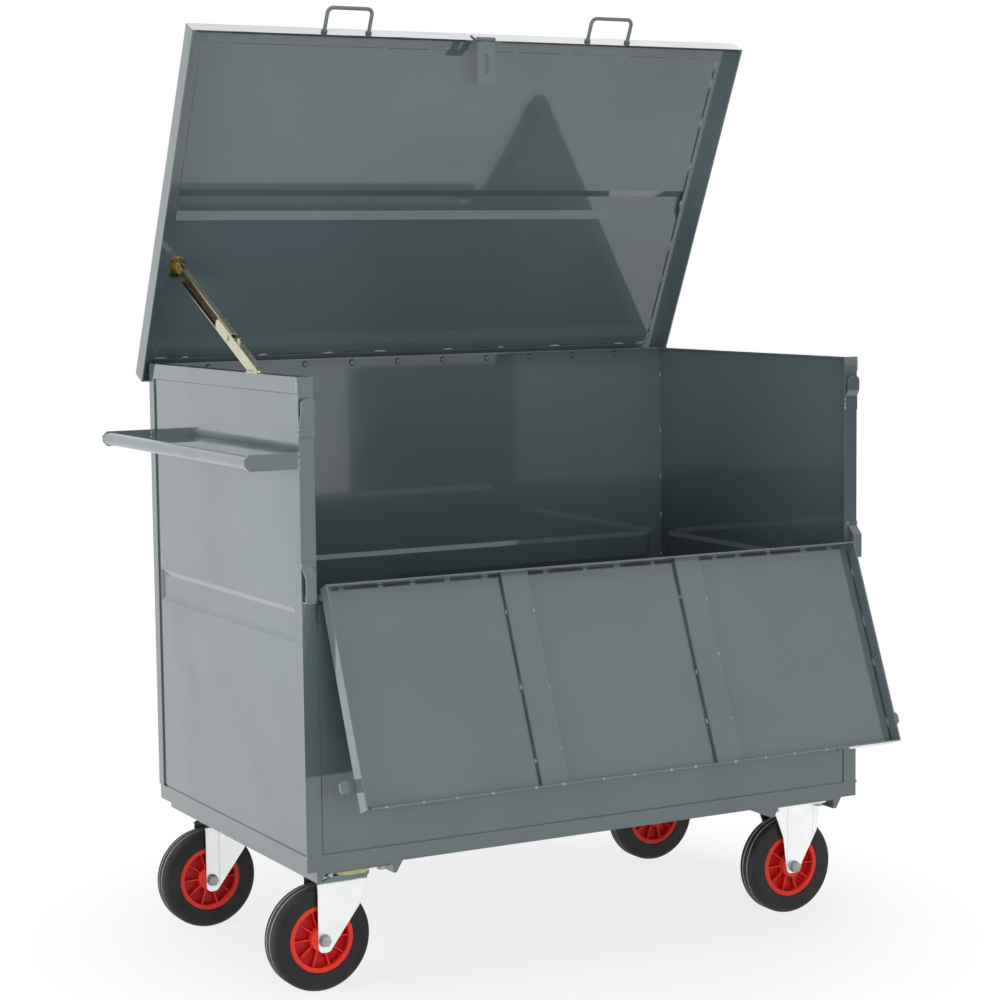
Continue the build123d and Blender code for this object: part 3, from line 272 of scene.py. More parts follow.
def enamel(name, tone, wave=1.0, satin=0.0):
    """Glossy paint: tone drifts a little, smears break the gloss, sheets are wavy, edges have a painted
    highlight.
    """
    paint = Finish(name)
    drift = paint.patches(per_metre=1.7, low=0.35, high=0.65, detail=4.0)
    smear = paint.patches(per_metre=5.0, low=0.42, high=0.72, detail=6.0, rough=0.62)
    nib = paint.patches(per_metre=150.0, low=0.74, high=0.78, detail=1.0)
    rounded = paint.rounded(EDGE_RADIUS)
    # Sharp edges are painted paler: a painted highlight for the light lines that edges catch.
    edge_highlight = paint.edges(rounded, low=0.01, high=0.16)
    colour = paint.blend(drift, tinted(tone, DRIFT_DARK), tinted(tone, DRIFT_PALE))
    colour = paint.blend(edge_highlight * EDGE_HIGHLIGHT_SHARE, colour, tinted(tone, EDGE_HIGHLIGHT_PALE, EDGE_HIGHLIGHT_LIFT))
    colour = paint.blend(nib * NIB_SHARE, colour, tinted(tone, NIB_DARK))
    gloss = smear * SMEAR_ROUGH + GLOSS_ROUGH + satin + nib * NIB_ROUGH
    shine = COAT_FULL - smear * COAT_SMEAR
    hills = paint.bump(paint.noise(per_metre=2.6, detail=2.0), 1.0, WAVE_HEIGHT * wave, rounded)
    peel = paint.noise(per_metre=300.0, detail=1.0) + nib * NIB_RISE
    normal = paint.bump(peel, PEEL_STRENGTH, PEEL_HEIGHT, hills)
    return paint.put(Base_Color=colour, Roughness=gloss, Normal=normal, Coat_Weight=shine,
                     Coat_Roughness=COAT_ROUGH + satin)


def coat(material, *names):
    """Give CAD nodes one finish."""
    for name in names:
        mesh = nodes[name].data
        mesh.materials.clear()
        mesh.materials.append(material)


box_enamel = enamel("box_enamel", ENAMEL_TONE)
coat(box_enamel, "base_rails", "castor_channels", "floor_plate", "front_posts", "rear_posts",
     "side_panel_left", "side_panel_right", "back_panel", "front_panel", "front_sill", "top_rims")

# Weld runs and seams on the box: short hand-laid beads under the paint where the pieces meet, in a paler
# paint that is a painted highlight, and thin dark strips of painted shadow beside the rear posts and
# under the rims, where the gaps between pieces fall in shade.
WELD_SEED = 11
chance = np.random.default_rng(WELD_SEED)
X, Y, Z = np.eye(3)
RUN_STEPS, RUN_SIDES, RUN_MARGIN = 13, 8, 0.015
RIPPLE_SHORT, RIPPLE_LONG = 4.0 * MM, 7.0 * MM
BEAD_SWELL, SHADOW_SWELL = 0.5, 0.06
BEAD_RIPPLE, SHADOW_RIPPLE = 0.14, 0.30
SHADOW_RISE = 0.25 * MM
TACK_STRAY, TACK_SHORT, TACK_LONG = 0.16, 0.65, 1.35
SPLASH = (2.8 * MM, 2.2 * MM)
FILLET = (2.6 * MM, 2.4 * MM)


def runs(ends, across, out, size, swell, ripple):
    """Runs of lens section from end to end, as points, side faces and end caps.

    At share t of the way the section is an ellipse: half axes size across and out, times sin(pi t)
    to the power swell, times one plus ripple times a sine wave of random length and phase."""
    ends = np.asarray(ends, float).reshape(-1, 2, 3)
    across = np.asarray(across, float) / np.linalg.norm(across)
    out = np.asarray(out, float) / np.linalg.norm(out)
    way = ends[:, 1] - ends[:, 0]
    turned = way @ np.cross(across, out) < 0
    ends[turned] = ends[turned][:, ::-1]
    count = len(ends)
    t = np.linspace(RUN_MARGIN, 1 - RUN_MARGIN, RUN_STEPS)
    angle = np.arange(RUN_SIDES) * 2 * np.pi / RUN_SIDES
    waves = np.linalg.norm(way, axis=1)[:, None] / chance.uniform(RIPPLE_SHORT, RIPPLE_LONG, (count, 1))
    shift = chance.uniform(0, 2 * np.pi, (count, 1))
    girth = np.sin(np.pi * t) ** swell * (1 + ripple * np.sin(waves * 2 * t + shift))
    centre = ends[:, :1] + (ends[:, 1:] - ends[:, :1]) * t[None, :, None]
    ring = across * (np.cos(angle) * size[0])[:, None] + out * (np.sin(angle) * size[1])[:, None]
    points = centre[:, :, None, :] + girth[:, :, None, None] * ring
    first = np.arange(count)[:, None, None] * RUN_STEPS * RUN_SIDES
    row = first + np.arange(RUN_STEPS - 1)[None, :, None] * RUN_SIDES
    near = np.arange(RUN_SIDES)
    far = (near + 1) % RUN_SIDES
    sides = np.stack([row + near, row + far, row + RUN_SIDES + far, row + RUN_SIDES + near], axis=-1)
    low = first[:, 0] + near[::-1]
    high = first[:, 0] + (RUN_STEPS - 1) * RUN_SIDES + near
    return points.reshape(-1, 3), sides.reshape(-1, 4).tolist(), np.concatenate([low, high]).tolist()


def tacks(start, end, count, length, across, out, size):
    """Short beads shared out along an edge, each a little off its place and its length."""
    start, end = np.array(start, float), np.array(end, float)
    span = np.linalg.norm(end - start)
    middle = (np.arange(count) + 0.5 + chance.uniform(-TACK_STRAY, TACK_STRAY, count)) / count
    half = length / 2 / span * chance.uniform(TACK_SHORT, TACK_LONG, count)
    share = np.stack([middle - half, middle + half], axis=1)
    return runs(start + share[:, :, None] * (end - start), across, out, size, BEAD_SWELL, BEAD_RIPPLE)


def shadow_strip(start, end, across, out, half_width):
    """A painted shadow: a long flat dark strip beside an edge, wavering in width."""
    return runs([start, end], across, out, (half_width, SHADOW_RISE), SHADOW_SWELL, SHADOW_RIPPLE)


def made_of(name, parts, body, material):
    """Join runs into one mesh piece that rides on a body."""
    points = np.concatenate([part[0] for part in parts])
    faces = []
    first = 0
    for own, sides, caps in parts:
        faces += [[first + i for i in face] for face in sides + caps]
        first += len(own)
    mesh = bpy.data.meshes.new(name)
    mesh.from_pydata(points.tolist(), [], faces)
    mesh.polygons.foreach_set("use_smooth", np.ones(len(faces), bool))
    mesh.materials.append(material)
    piece = bpy.data.objects.new(name, mesh)
    bpy.context.scene.collection.objects.link(piece)
    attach(piece, body)


def spot(x, y, z):
    """A point by its distance from the front left corner of the rails, and its height above the floor."""
    return np.array((RAIL_LOW.x + x, RAIL_LOW.y + y, z))


def other_end(part):
    """The same run mirrored to the other end of the box, its faces turned round again."""
    points = part[0] * (-1, 1, 1) + (RAIL_LOW.x + RAIL_HIGH.x, 0, 0)
    return points, [face[::-1] for face in part[1]], [face[::-1] for face in part[2]]


def both_ends(parts):
    """Runs laid out at the left end of the box, with their mirror images at the right end."""
    return parts + [other_end(part) for part in parts]


# Weld beads are painted paler than the enamel: a painted highlight for the glints they catch.
WELD_GLINT_TONE = (0.22, 0.25, 0.26)
# Painted shadow: near-black strips laid where the gaps between pieces fall in shade.
SHADOW_STRIP_DARK, SHADOW_STRIP_GREY = (0.018, 0.021, 0.024), (0.045, 0.052, 0.058)
weld_paint = enamel("weld_paint", WELD_GLINT_TONE, wave=0.0)
shadow_strip_finish = Finish("seam_shadow")
shadow_strip_paint = shadow_strip_finish.put(Base_Color=shadow_strip_finish.blend(shadow_strip_finish.noise(per_metre=40.0), SHADOW_STRIP_DARK, SHADOW_STRIP_GREY),
                   Roughness=shadow_strip_finish.patches(per_metre=90.0, low=0.3, high=0.7, to_low=0.5, to_high=0.8))

SHEET_SKIN, SHEET_T, PANEL_IN = 1.0 * MM, 2.0 * MM, 3.0 * MM
REAR_POST_EDGE, REAR_PROUD = 25.0 * MM, 2.0 * MM
RAIL_TOP = RAIL_HIGH.z
RIM_LOW, RIM_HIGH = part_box("top_rims")
rear_face = RAIL_HIGH.y - RAIL_LOW.y + REAR_PROUD

# The catches and pivot straps on the front posts are tacked down their edges.
coat(box_enamel, "pivot_straps", "flap_catches")
CATCH_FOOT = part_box("flap_catches")[0].z
CATCH_EDGES, CATCH_PAD = (1.0 * MM, 29.0 * MM), 27.0 * MM
STRAP_LOW, STRAP_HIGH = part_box("pivot_straps")
STRAP_EDGES, STRAP_PAD = (1.0 * MM, 21.0 * MM), 14.0 * MM
STRAP_FOOT = (3.0 * MM, 19.0 * MM)
box_runs = []
for x in CATCH_EDGES:
    box_runs.append(tacks(spot(x, 0, CATCH_FOOT), spot(x, 0, CATCH_FOOT + CATCH_PAD),
                          count=3, length=7 * MM, across=X, out=Y, size=SPLASH))
for x in STRAP_EDGES:
    box_runs.append(tacks(spot(x, 0, STRAP_HIGH.z - STRAP_PAD), spot(x, 0, STRAP_HIGH.z),
                          count=1, length=9 * MM, across=X, out=Y, size=SPLASH))
strap_from, strap_to = [spot(x, 0, STRAP_LOW.z) for x in STRAP_FOOT]
box_runs.append(tacks(strap_from, strap_to, count=1, length=12 * MM, across=Z, out=Y, size=SPLASH))

# The posts are welded to the rails at the foot, and to the rims at the top.
POST_BELOW, POST_ABOVE = 6.0 * MM, 5.0 * MM
RIM_OUT, RIM_IN = 1.0 * MM, 2.0 * MM
RIM_SWELL, RIM_RIPPLE = 0.2, 0.1
post_from, post_to = [spot(0, 0, z) for z in (RAIL_TOP - POST_BELOW, RAIL_TOP + POST_ABOVE)]
box_runs.append(tacks(post_from, post_to, count=1, length=9 * MM, across=X, out=Y, size=FILLET))
rim_ends = [spot(-RIM_OUT, RIM_IN, z) for z in (RIM_LOW.z, RIM_HIGH.z)]
box_runs.append(runs(rim_ends, Y, X, SPLASH, RIM_SWELL, RIM_RIPPLE))

# Inside, the side walls are tacked to the back wall and to the rims.
INSIDE_FRONT, INSIDE_ROOM = 60.0 * MM, 40.0 * MM
back_wall, under_rim = rear_face - PANEL_IN - SHEET_T, RIM_HIGH.z - PANEL_IN
wall_from, wall_to = [spot(PANEL_IN, back_wall, z) for z in (RAIL_TOP + INSIDE_ROOM, RIM_LOW.z)]
box_runs.append(tacks(wall_from, wall_to, count=8, length=16 * MM, across=X, out=Y, size=FILLET))
top_from, top_to = [spot(PANEL_IN, y, under_rim) for y in (INSIDE_FRONT, back_wall - INSIDE_ROOM)]
box_runs.append(tacks(top_from, top_to, count=5, length=14 * MM, across=X, out=Z, size=FILLET))
made_of("box_welds", both_ends(box_runs), "box", weld_paint)

# Painted shadow: dark strips run up beside the rear posts, under the rims and under the catches.
POST_SHADOW, RIM_SHADOW, CATCH_SHADOW = 1.5 * MM, 0.6 * MM, 0.8 * MM
RAIL_ROOM, CATCH_GAP = 4.0 * MM, (4.0 * MM, 27.0 * MM)
post_edge, rim_edge = rear_face - REAR_POST_EDGE - POST_SHADOW, RIM_LOW.z - RIM_SHADOW
catch_from, catch_to = [spot(x, 0, CATCH_FOOT) for x in CATCH_GAP]
side_shadow_strips = [shadow_strip(spot(SHEET_SKIN, post_edge, RAIL_TOP + RAIL_ROOM), spot(SHEET_SKIN, post_edge, RIM_LOW.z),
                   Y, X, POST_SHADOW),
              shadow_strip(spot(SHEET_SKIN, RIM_IN, rim_edge), spot(SHEET_SKIN, post_edge, rim_edge), Z, X, RIM_SHADOW),
              shadow_strip(catch_from, catch_to, Z, Y, CATCH_SHADOW)]
made_of("box_seams", both_ends(side_shadow_strips), "box", shadow_strip_paint)

# Push handle at the left end: two flat arms with cut corners, each welded to a corner post, and a
# round tube between them, in the same enamel, painted paler on the tube as painted light. The welds at
# the roots of the arms show as lumps.
GRIP_LIT_PALE, GRIP_SATIN = 1.3, 0.22
coat(box_enamel, "handle_arms")
coat(enamel("grip_enamel", tinted(ENAMEL_TONE, GRIP_LIT_PALE), satin=GRIP_SATIN), "handle_bar")
ARM_LOW, ARM_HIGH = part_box("handle_arms")
ARM_T = 6.0 * MM
arm_faces = [(0, 0), (ARM_T, 0), (rear_face - ARM_T, -REAR_PROUD), (rear_face, -REAR_PROUD)]
arm_runs = []
for y, root in arm_faces:
    arm_runs.append(tacks(spot(root, y, ARM_LOW.z), spot(root, y, ARM_HIGH.z),
                          count=3, length=9 * MM, across=X, out=Y, size=SPLASH))
for z in (ARM_LOW.z, ARM_HIGH.z):
    arm_runs.append(tacks(spot(0, 0, z), spot(0, ARM_T, z),
                          count=1, length=6 * MM, across=X, out=Z, size=SPLASH))
made_of("handle_welds", arm_runs, "box", weld_paint)

# Castors: pressed forks in bright zinc, with axles and bolts in a duller one and the swivel plates in a
# near-black one that is painted shade under the box. The crowns of the swivel forks are darkened as
# painted shade, and some legs have a faint pressed line beside the axle, darkened as painted shade.
ZINC_TONE, ZINC_MOTTLE = (0.97, 0.975, 0.98), (0.94, 0.945, 0.95)
DULL_TONE, DULL_MOTTLE = (0.46, 0.48, 0.50), (0.30, 0.32, 0.34)
PLATE_SHADE_TONE, PLATE_SHADE_MOTTLE = (0.16, 0.18, 0.19), (0.10, 0.11, 0.12)
ZINC_ROUGH, DULL_ROUGH, ROUGH_SPREAD = 0.25, 0.3, 0.06
ZINC_EDGE, ZINC_BUMP, ZINC_STRENGTH = 1.2 * MM, 0.8 * MM, 0.6
CLOUD_RISE, PIT_RISE = 0.006, 0.004
CREASE_SHADE_TONE, CREASE_HALF, CREASE_RISE, CREASE_SHADE_SHARE = (0.42, 0.52, 0.53), 1.0 * MM, 0.4, 0.8
CROWN_SHADE_TONE, CROWN_SHADE_WAVER, CROWN_SHADE_FADE = (0.17, 0.22, 0.23), 2.0 * MM, 4.0 * MM
REAR_CREASE = 16.0 * MM
FIXED_CREASES = (-16.0 * MM, 47.0 * MM)
CROWN_LOW = 206.5 * MM


def zinc(name, tone, mottle, rough, creases=(), crown=None):
    """Plated steel: faint clouds in colour and gloss, crease lines at the creases' x darkened as painted
    shade, painted shade above the crown's z.
    """
    plate = Finish(name)
    cloud = plate.patches(per_metre=22.0, low=0.35, high=0.65)
    colour = plate.blend(cloud, tone, mottle)
    gloss = plate.patches(per_metre=45.0, low=0.3, high=0.7, detail=2.0,
                          to_low=rough, to_high=rough + ROUGH_SPREAD)
    height = cloud * CLOUD_RISE + plate.noise(per_metre=320.0, detail=2.0) * PIT_RISE
    for crease in creases:
        line = plate.ramp((plate.axis("X") - crease).size(), 0.0, CREASE_HALF)
        height = height + line * CREASE_RISE
        # Painted shade: each crease line is darkened in colour as well as raised.
        colour = plate.blend((1.0 - line) * CREASE_SHADE_SHARE, colour, CREASE_SHADE_TONE)
    if crown:
        # Painted shade: above this height the crown is darkened, for the shade under the box.
        crown_shaded = plate.ramp(plate.axis("Z") + cloud * CROWN_SHADE_WAVER, crown, crown + CROWN_SHADE_FADE)
        colour = plate.blend(crown_shaded, colour, CROWN_SHADE_TONE)
    normal = plate.bump(height, ZINC_STRENGTH, ZINC_BUMP, plate.rounded(ZINC_EDGE))
    return plate.put(Base_Color=colour, Roughness=gloss, Metallic=1.0, Normal=normal)


def fork_zinc(end, creases=(), crown=None):
    """Bright zinc for the forks of one end, with their own lines and crown, both darkened as painted shade.
    """
    return zinc("fork_zinc_" + end, ZINC_TONE, ZINC_MOTTLE, ZINC_ROUGH, creases, crown)


bright_zinc = zinc("bright_zinc", ZINC_TONE, ZINC_MOTTLE, ZINC_ROUGH)
dull_zinc = zinc("dull_zinc", DULL_TONE, DULL_MOTTLE, DULL_ROUGH)
rear_x = joints["wheel_rear_left_spin"]["pos_m"][0]
right_x = joints["wheel_front_right_spin"]["pos_m"][0]
coat(dull_zinc, "castor_bolts", "kingpins", "fixed_axles", "swivel_axle_front", "swivel_axle_rear")
# Swivel plates: painted shade, a near-black zinc for plates that sit in shade under the box.
coat(zinc("plate_zinc", PLATE_SHADE_TONE, PLATE_SHADE_MOTTLE, DULL_ROUGH), "swivel_plates")
coat(fork_zinc("front", crown=CROWN_LOW), "swivel_fork_front")
coat(fork_zinc("rear", [rear_x + REAR_CREASE], CROWN_LOW), "swivel_fork_rear")
coat(fork_zinc("fixed", [right_x + crease for crease in FIXED_CREASES]), "fixed_forks")

# Wheels: solid black rubber tyres with a moulded line round the wall and pale lines of painted
# highlight on the tread, on red moulded centres whose lip and ribs are painted brighter and dish darker
# as painted light and shade, with a steel sleeve in the hub.
TYRE_BLACK, TYRE_DUST = (0.012, 0.012, 0.013), (0.060, 0.057, 0.053)
TREAD_RADIUS, TREAD_FADE = 98.0 * MM, 3.0 * MM
WALL_LINE, LINE_HALF = 76.0 * MM, 1.2 * MM
GROOVE_HIGHLIGHT_TONE, GROOVE_OUT, GROOVE_FADE = (0.55, 0.54, 0.51), 7.0 * MM, 1.0 * MM
GROOVE_HALF, GROOVE_EDGE = 0.8 * MM, 1.5 * MM
WORN_SHARE, WORN_ROUGH, CLOUD_SHARE = 0.5, 0.2, 0.16
RUBBER_GRAIN, RUBBER_BUMP, RUBBER_STRENGTH, RUBBER_SHEEN = 0.12, 0.8 * MM, 0.5, 0.35
RED_LIT_LIP, RED_SHADED_DISH = (0.82, 0.045, 0.024), (0.52, 0.006, 0.012)
DISH_DEPTH, LIP_DEPTH = 8.0 * MM, 15.0 * MM
RED_DARK, RED_SHARE = 0.75, 0.25
RED_EDGE, RED_BUMP, RED_STRENGTH, RED_SHEEN = 1.5 * MM, 0.2 * MM, 0.2, 0.3
BEARING_TONE, BEARING_MOTTLE, BEARING_ROUGH = (0.55, 0.55, 0.57), (0.42, 0.42, 0.44), 0.28


def from_axle(finish, centre):
    """Distance from the wheel's axle line, and distance from its middle plane."""
    place = finish.moved(centre)
    x, y, z = [finish.axis(name, place) for name in "XYZ"]
    return (x * x + z * z).root(), y.size()


def tyre_rubber(name, centre):
    """Black rubber: dusty on the tread, pale lines of painted highlight on the tread, a fine moulded line on
    the wall, a matt skin.
    """
    rubber = Finish(name)
    radius, side = from_axle(rubber, centre)
    tread_from = TREAD_RADIUS - TREAD_FADE
    worn = rubber.ramp(radius, tread_from, TREAD_RADIUS)
    worn = worn * rubber.patches(per_metre=30.0, low=0.3, high=0.7, detail=5.0, rough=0.6)
    line = 1.0 - rubber.ramp((radius - WALL_LINE).size(), 0.0, LINE_HALF)
    cloud = rubber.patches(per_metre=14.0, low=0.35, high=0.7, detail=4.0)
    # Painted highlight: two pale lines on the tread, where light catches the groove edges.
    groove_highlight = rubber.ramp(radius, tread_from - GROOVE_FADE, tread_from)
    groove_highlight = groove_highlight * (1.0 - rubber.ramp((side - GROOVE_OUT).size(), GROOVE_HALF, GROOVE_EDGE))
    dusty = (worn * WORN_SHARE + cloud * CLOUD_SHARE).least(1.0)
    colour = rubber.blend(groove_highlight, rubber.blend(dusty, TYRE_BLACK, TYRE_DUST), GROOVE_HIGHLIGHT_TONE)
    skin = rubber.patches(per_metre=60.0, low=0.3, high=0.7, to_low=0.45, to_high=0.6)
    grain = rubber.noise(per_metre=420.0) * RUBBER_GRAIN
    return rubber.put(Base_Color=colour, Roughness=skin + worn * WORN_ROUGH, Specular_IOR_Level=RUBBER_SHEEN,
                      Normal=rubber.bump(line + grain, RUBBER_STRENGTH, RUBBER_BUMP))


def wheel_red(name, centre):
    """Moulded plastic: painted light where it stands out to lip and ribs, painted shade in the crimson dish.
    """
    red = Finish(name)
    _, side = from_axle(red, centre)
    # Painted light and shade: colour goes from the dark dish to the bright lip by depth from the middle.
    colour = red.blend(red.ramp(side, DISH_DEPTH, LIP_DEPTH), RED_SHADED_DISH, RED_LIT_LIP)
    cloud = red.noise(per_metre=24.0, detail=4.0)
    colour = red.blend(cloud * RED_SHARE, colour, tinted(RED_LIT_LIP, RED_DARK))
    gloss = red.patches(per_metre=80.0, low=0.3, high=0.7, to_low=0.26, to_high=0.40)
    normal = red.bump(red.noise(per_metre=260.0), RED_STRENGTH, RED_BUMP, red.rounded(RED_EDGE))
    return red.put(Base_Color=colour, Roughness=gloss, Normal=normal, Specular_IOR_Level=RED_SHEEN)


bearing_steel = zinc("bearing_steel", BEARING_TONE, BEARING_MOTTLE, BEARING_ROUGH)
for wheel in ("front_left", "rear_left", "front_right", "rear_right"):
    centre = tuple(joints["wheel_" + wheel + "_spin"]["pos_m"])
    coat(tyre_rubber("tyre_rubber_" + wheel, centre), "tyre_" + wheel)
    coat(wheel_red("wheel_red_" + wheel, centre), "wheel_centre_" + wheel)
    coat(bearing_steel, "wheel_bearing_" + wheel)


# Lid: a ribbed sheet on an angle frame, hung on a long hinge at the back. The sheet is tacked to the
# inner edges of the frame's flat legs, with strips of painted shadow between the tacks where the gaps
# fall in shade.
def swung(points, name, share):
    """Points turned about a hinge: share 1 goes from the open rest place to the closed one, -1 back."""
    joint = joints[name]
    angle = math.radians(min(joint["range_deg"])) * share
    spin = np.array(Matrix.Rotation(angle, 3, Vector(joint["axis"])))
    return (points - joint["pos_m"]) @ spin.T + joint["pos_m"]


def closed_box(node, hinge):
    """Lowest and highest corner of a CAD node when its hinge is closed."""
    mesh = nodes[node].data
    points = np.empty(len(mesh.vertices) * 3, np.float32)
    mesh.vertices.foreach_get("co", points)
    points = swung(points.reshape(-1, 3).astype(float), hinge, 1)
    return points.min(axis=0), points.max(axis=0)


def opened(parts, hinge):
    """Runs laid out on a closed piece, carried to where it stands open."""
    return [(swung(part[0], hinge, -1), part[1], part[2]) for part in parts]


LID_LEG, LID_GAP = 35.0 * MM, 1.0 * MM
LID_END_SHADOW, LID_LONG_SHADOW = 1.0 * MM, 0.7 * MM
LID_END_TACKS, LID_LONG_TACKS, TACK_LENGTH = 7, 8, 22.0 * MM
LIP_SHADE, HASP_ROOM = 2.2 * MM, 32.0 * MM
CORNER_RUN = 28.0 * MM
lid_low, lid_high = closed_box("lid_frame", "lid_hinge")
left, right = lid_low[0] + LID_LEG, lid_high[0] - LID_LEG
front, rear = lid_low[1] + LID_LEG, lid_high[1] - LID_LEG
under = lid_high[2]
lid_runs, lid_seams = [], []
for x, inward in ((left, LID_GAP), (right, -LID_GAP)):
    lid_runs.append(tacks((x, front, under), (x, rear, under), LID_END_TACKS, TACK_LENGTH, X, Z, FILLET))
    lid_seams.append(shadow_strip((x + inward, front, under), (x + inward, rear, under), X, Z, LID_END_SHADOW))
for y, inward in ((front, LID_GAP), (rear, -LID_GAP)):
    lid_runs.append(tacks((left, y, under), (right, y, under), LID_LONG_TACKS, TACK_LENGTH, Y, Z, FILLET))
    lid_seams.append(shadow_strip((left, y + inward, under), (right, y + inward, under), Y, Z, LID_LONG_SHADOW))

# The free edge of the front flange is a dark line on each side of the hasp.
middle = (left + right) / 2
shade_y, shade_z = lid_low[1] + LIP_SHADE, lid_low[2]
for x_from, x_to in ((lid_low[0], middle - HASP_ROOM), (middle + HASP_ROOM, lid_high[0])):
    lid_seams.append(shadow_strip((x_from, shade_y, shade_z), (x_to, shade_y, shade_z), Y, Z, LIP_SHADE))

# A bead runs both ways from each inner corner of the frame.
for x, along in ((left, CORNER_RUN), (right, -CORNER_RUN)):
    for y, up in ((front, CORNER_RUN), (rear, -CORNER_RUN)):
        for end, across in (((x + along, y, under), Y), ((x, y + up, under), X)):
            lid_runs.append(runs([(x, y, under), end], across, Z, FILLET, BEAD_SWELL, BEAD_RIPPLE))
made_of("lid_welds", opened(lid_runs, "lid_hinge"), "lid", weld_paint)
made_of("lid_seams", opened(lid_seams, "lid_hinge"), "lid", shadow_strip_paint)
coat(box_enamel, "lid_sheet", "lid_frame", "lid_handles", "hinge_lid_leaf", "hinge_box_leaf", "hinge_rivets")
coat(bright_zinc, "hinge_pin")

# Hasp: a steel strap with a slot, which swings on a pin in its base on the lid's front flange. Both
# are painted with the lid, in the same enamel.
coat(box_enamel, "hasp_mount", "hasp_strap")

# Folding stay: two pressed channels, their brackets and rivet in yellow passivated zinc, which
# shifts from straw to olive and rose over the surface. The rings of the swivels have a greener one.
# Edges are paled as a painted highlight; the upper arm's hollow and the lid bracket are darkened as
# painted shade.
STRAW, OLIVE, ROSE = (0.66, 0.62, 0.44), (0.60, 0.60, 0.44), (0.68, 0.54, 0.42)
LIME, MOSS = (0.50, 0.52, 0.20), (0.36, 0.40, 0.16)
BRACKET_SHADE_AMBER, BRACKET_SHADE_UMBER = (0.50, 0.42, 0.15), (0.20, 0.15, 0.06)
EDGE_GLINT, EDGE_GLINT_SHARE, ROSE_SHARE = (0.95, 0.92, 0.86), 0.8, 0.35
STAY_EDGE, STAY_BUMP, STAY_STRENGTH = 1.0 * MM, 0.1 * MM, 0.05
HOLLOW_SHADE_BROWN, HOLLOW_SHADE_DULL = (0.050, 0.034, 0.018), 0.7
HOLLOW_HALF, HOLLOW_FADE = 12.6 * MM, 0.3 * MM
WEB_T, WEB_ROOM = 2.0 * MM, 0.2 * MM
web_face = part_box("stay_upper_arm")[1].x - WEB_T + WEB_ROOM
stay_top, stay_knee = [np.array(joints[name]["pos_m"]) for name in ("stay_top", "stay_knee")]
stay_side = np.cross(X, (stay_knee - stay_top) / np.linalg.norm(stay_knee - stay_top))


def yellow_zinc(name, straw, olive, hollow=False):
    """Yellow passivate: straw, olive and rose clouds on bright metal, edges paled as painted highlight;
    painted shade, dull brown, in the upper arm's hollow.
    """
    plate = Finish(name)
    cloud = plate.patches(per_metre=34.0, low=0.38, high=0.62)
    blush = plate.patches(per_metre=52.0, low=0.52, high=0.74, rough=0.6)
    colour = plate.blend(cloud, straw, olive)
    colour = plate.blend(blush * ROSE_SHARE, colour, ROSE)
    gloss = plate.patches(per_metre=90.0, low=0.3, high=0.7, detail=2.0, to_low=0.24, to_high=0.34)
    shine = 1.0
    rounded = plate.rounded(STAY_EDGE)
    # Painted shade: inside the upper arm's channel the colour turns dark brown and the metal dull.
    if hollow:
        across = (plate.axis("Y") - stay_top[1]) * stay_side[1]
        across = across + (plate.axis("Z") - stay_top[2]) * stay_side[2]
        in_hollow_shade = 1.0 - plate.ramp(across.size(), HOLLOW_HALF, HOLLOW_HALF + HOLLOW_FADE)
        in_hollow_shade = in_hollow_shade * (1.0 - plate.ramp(plate.axis("X"), web_face, web_face + HOLLOW_FADE))
        colour = plate.blend(in_hollow_shade, colour, HOLLOW_SHADE_BROWN)
        shine = 1.0 - in_hollow_shade * HOLLOW_SHADE_DULL
    # Painted highlight: edges blend to near-white, for the light lines they catch.
    colour = plate.blend(plate.edges(rounded, low=0.02, high=0.2) * EDGE_GLINT_SHARE, colour, EDGE_GLINT)
    normal = plate.bump(plate.noise(per_metre=200.0, detail=2.0), STAY_STRENGTH, STAY_BUMP, rounded)
    return plate.put(Base_Color=colour, Roughness=gloss, Metallic=shine, Normal=normal)


coat(yellow_zinc("yellow_zinc", STRAW, OLIVE), "stay_wall_bracket", "stay_lower_arm", "stay_rivet")
# The lid bracket gets darker amber and umber clouds: painted shade for the inside of the bracket.
coat(yellow_zinc("bracket_zinc", BRACKET_SHADE_AMBER, BRACKET_SHADE_UMBER), "stay_lid_bracket")
coat(yellow_zinc("arm_zinc", STRAW, OLIVE, hollow=True), "stay_upper_arm")
coat(yellow_zinc("race_zinc", LIME, MOSS), "swivel_races")

# Drop-down flap: a sheet in an angle frame with two shallow stiffeners, tacked along every edge. It
# hangs on two pins held by spring clips, and has tabs, two pull handles and a staple outside.
CLIP_TONE, CLIP_MOTTLE = (0.11, 0.115, 0.12), (0.06, 0.065, 0.07)
coat(box_enamel, "flap_sheet", "flap_frame", "flap_stiffeners", "flap_tabs", "flap_handles", "flap_staple")
coat(dull_zinc, "flap_pins")
coat(zinc("clip_wire", CLIP_TONE, CLIP_MOTTLE, DULL_ROUGH), "r_clips")
STIFFENER_W, STIFFENER_EDGE = 57.0 * MM, 3.0 * MM
HINGE_GAP, RIGHT_GAP, FOOT_GAP = 2.0 * MM, 2.0 * MM, 1.0 * MM
BRIDGE = (3.2 * MM, 1.0 * MM)
DOT = (2.4 * MM, 2.2 * MM)
EDGE_OUT = 1.5 * MM
NOTCH_LENGTH, NOTCH_HALF, NOTCH_RIPPLE = 5.0 * MM, 2.5 * MM, 0.1
LONG_TACKS, TOP_TACKS, END_TACKS, STIFFENER_TACKS = 16, 9, 4, 3
BRIDGE_LENGTH, FOOT_LENGTH, DROP_LENGTH = 16.0 * MM, 9.0 * MM, 7.0 * MM
stiff_low, stiff_high = closed_box("flap_stiffeners", "flap_hinge")
(x0, _, z0), (x1, skin, z1) = closed_box("flap_sheet", "flap_hinge")
frame_face = closed_box("flap_frame", "flap_hinge")[1][1]
hinge_line, edge_line, right_line = z0 + HINGE_GAP, z1 + EDGE_OUT, x1 - RIGHT_GAP
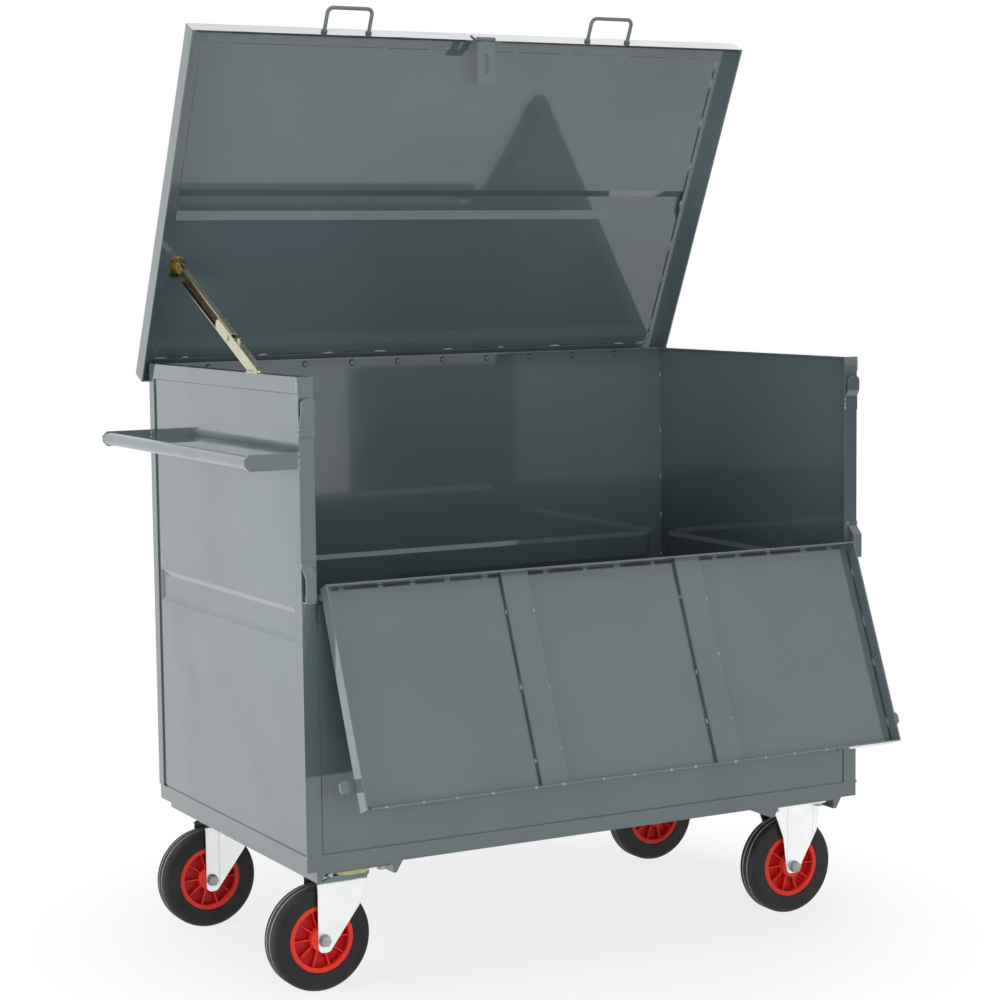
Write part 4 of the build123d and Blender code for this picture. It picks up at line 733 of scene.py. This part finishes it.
flap_tacks = [tacks((x0, skin, hinge_line), (x1, skin, hinge_line), LONG_TACKS, BRIDGE_LENGTH, Z, Y, BRIDGE),
              tacks((x0, skin, z1), (x1, skin, z1), TOP_TACKS, TACK_LENGTH, Y, Z, FILLET),
              tacks((x0, skin, z0), (x0, skin, z1), END_TACKS, TACK_LENGTH, X, Y, FILLET),
              tacks((x1, skin, z0), (x1, skin, z1), END_TACKS, TACK_LENGTH, X, Y, FILLET)]
flap_runs = [tacks((x0, frame_face, edge_line), (x1, frame_face, edge_line),
                   LONG_TACKS, DROP_LENGTH, Z, Y, SPLASH)]
# Painted shadow: dark strips along the hinge edge and the right flange where the gaps fall in shade, and a
# dark dot of painted shade in the corner notch.
flap_seams = [shadow_strip((x0, skin, hinge_line), (x1, skin, hinge_line), Z, Y, HINGE_GAP),
              shadow_strip((right_line, skin, z0), (right_line, skin, z1), X, Y, RIGHT_GAP),
              runs([(x0, frame_face, z1), (x0 + NOTCH_LENGTH, frame_face, z1)], Z, Y,
                   (NOTCH_HALF, SHADOW_RISE), BEAD_SWELL, NOTCH_RIPPLE)]

# Each stiffener is tacked at its foot on the sheet and has a second row of tacks on its crest.
crest = stiff_high[1]
for foot in (stiff_low[0], stiff_high[0] - STIFFENER_W):
    beside, inner = foot - FOOT_GAP, foot + STIFFENER_W - STIFFENER_EDGE
    flap_runs.append(tacks((foot, skin, z0), (foot, skin, z1), STIFFENER_TACKS, FOOT_LENGTH, X, Y, DOT))
    # Beside each foot, a strip of painted shadow.
    flap_seams.append(shadow_strip((beside, skin, z0), (beside, skin, z1), X, Y, FOOT_GAP))
    flap_runs.append(tacks((inner, crest, z0), (inner, crest, z1), STIFFENER_TACKS, DROP_LENGTH, X, Y, DOT))
made_of("flap_tacks", opened(flap_tacks, "flap_hinge"), "flap", box_enamel)
made_of("flap_welds", opened(flap_runs, "flap_hinge"), "flap", weld_paint)
made_of("flap_seams", opened(flap_seams, "flap_hinge"), "flap", shadow_strip_paint)
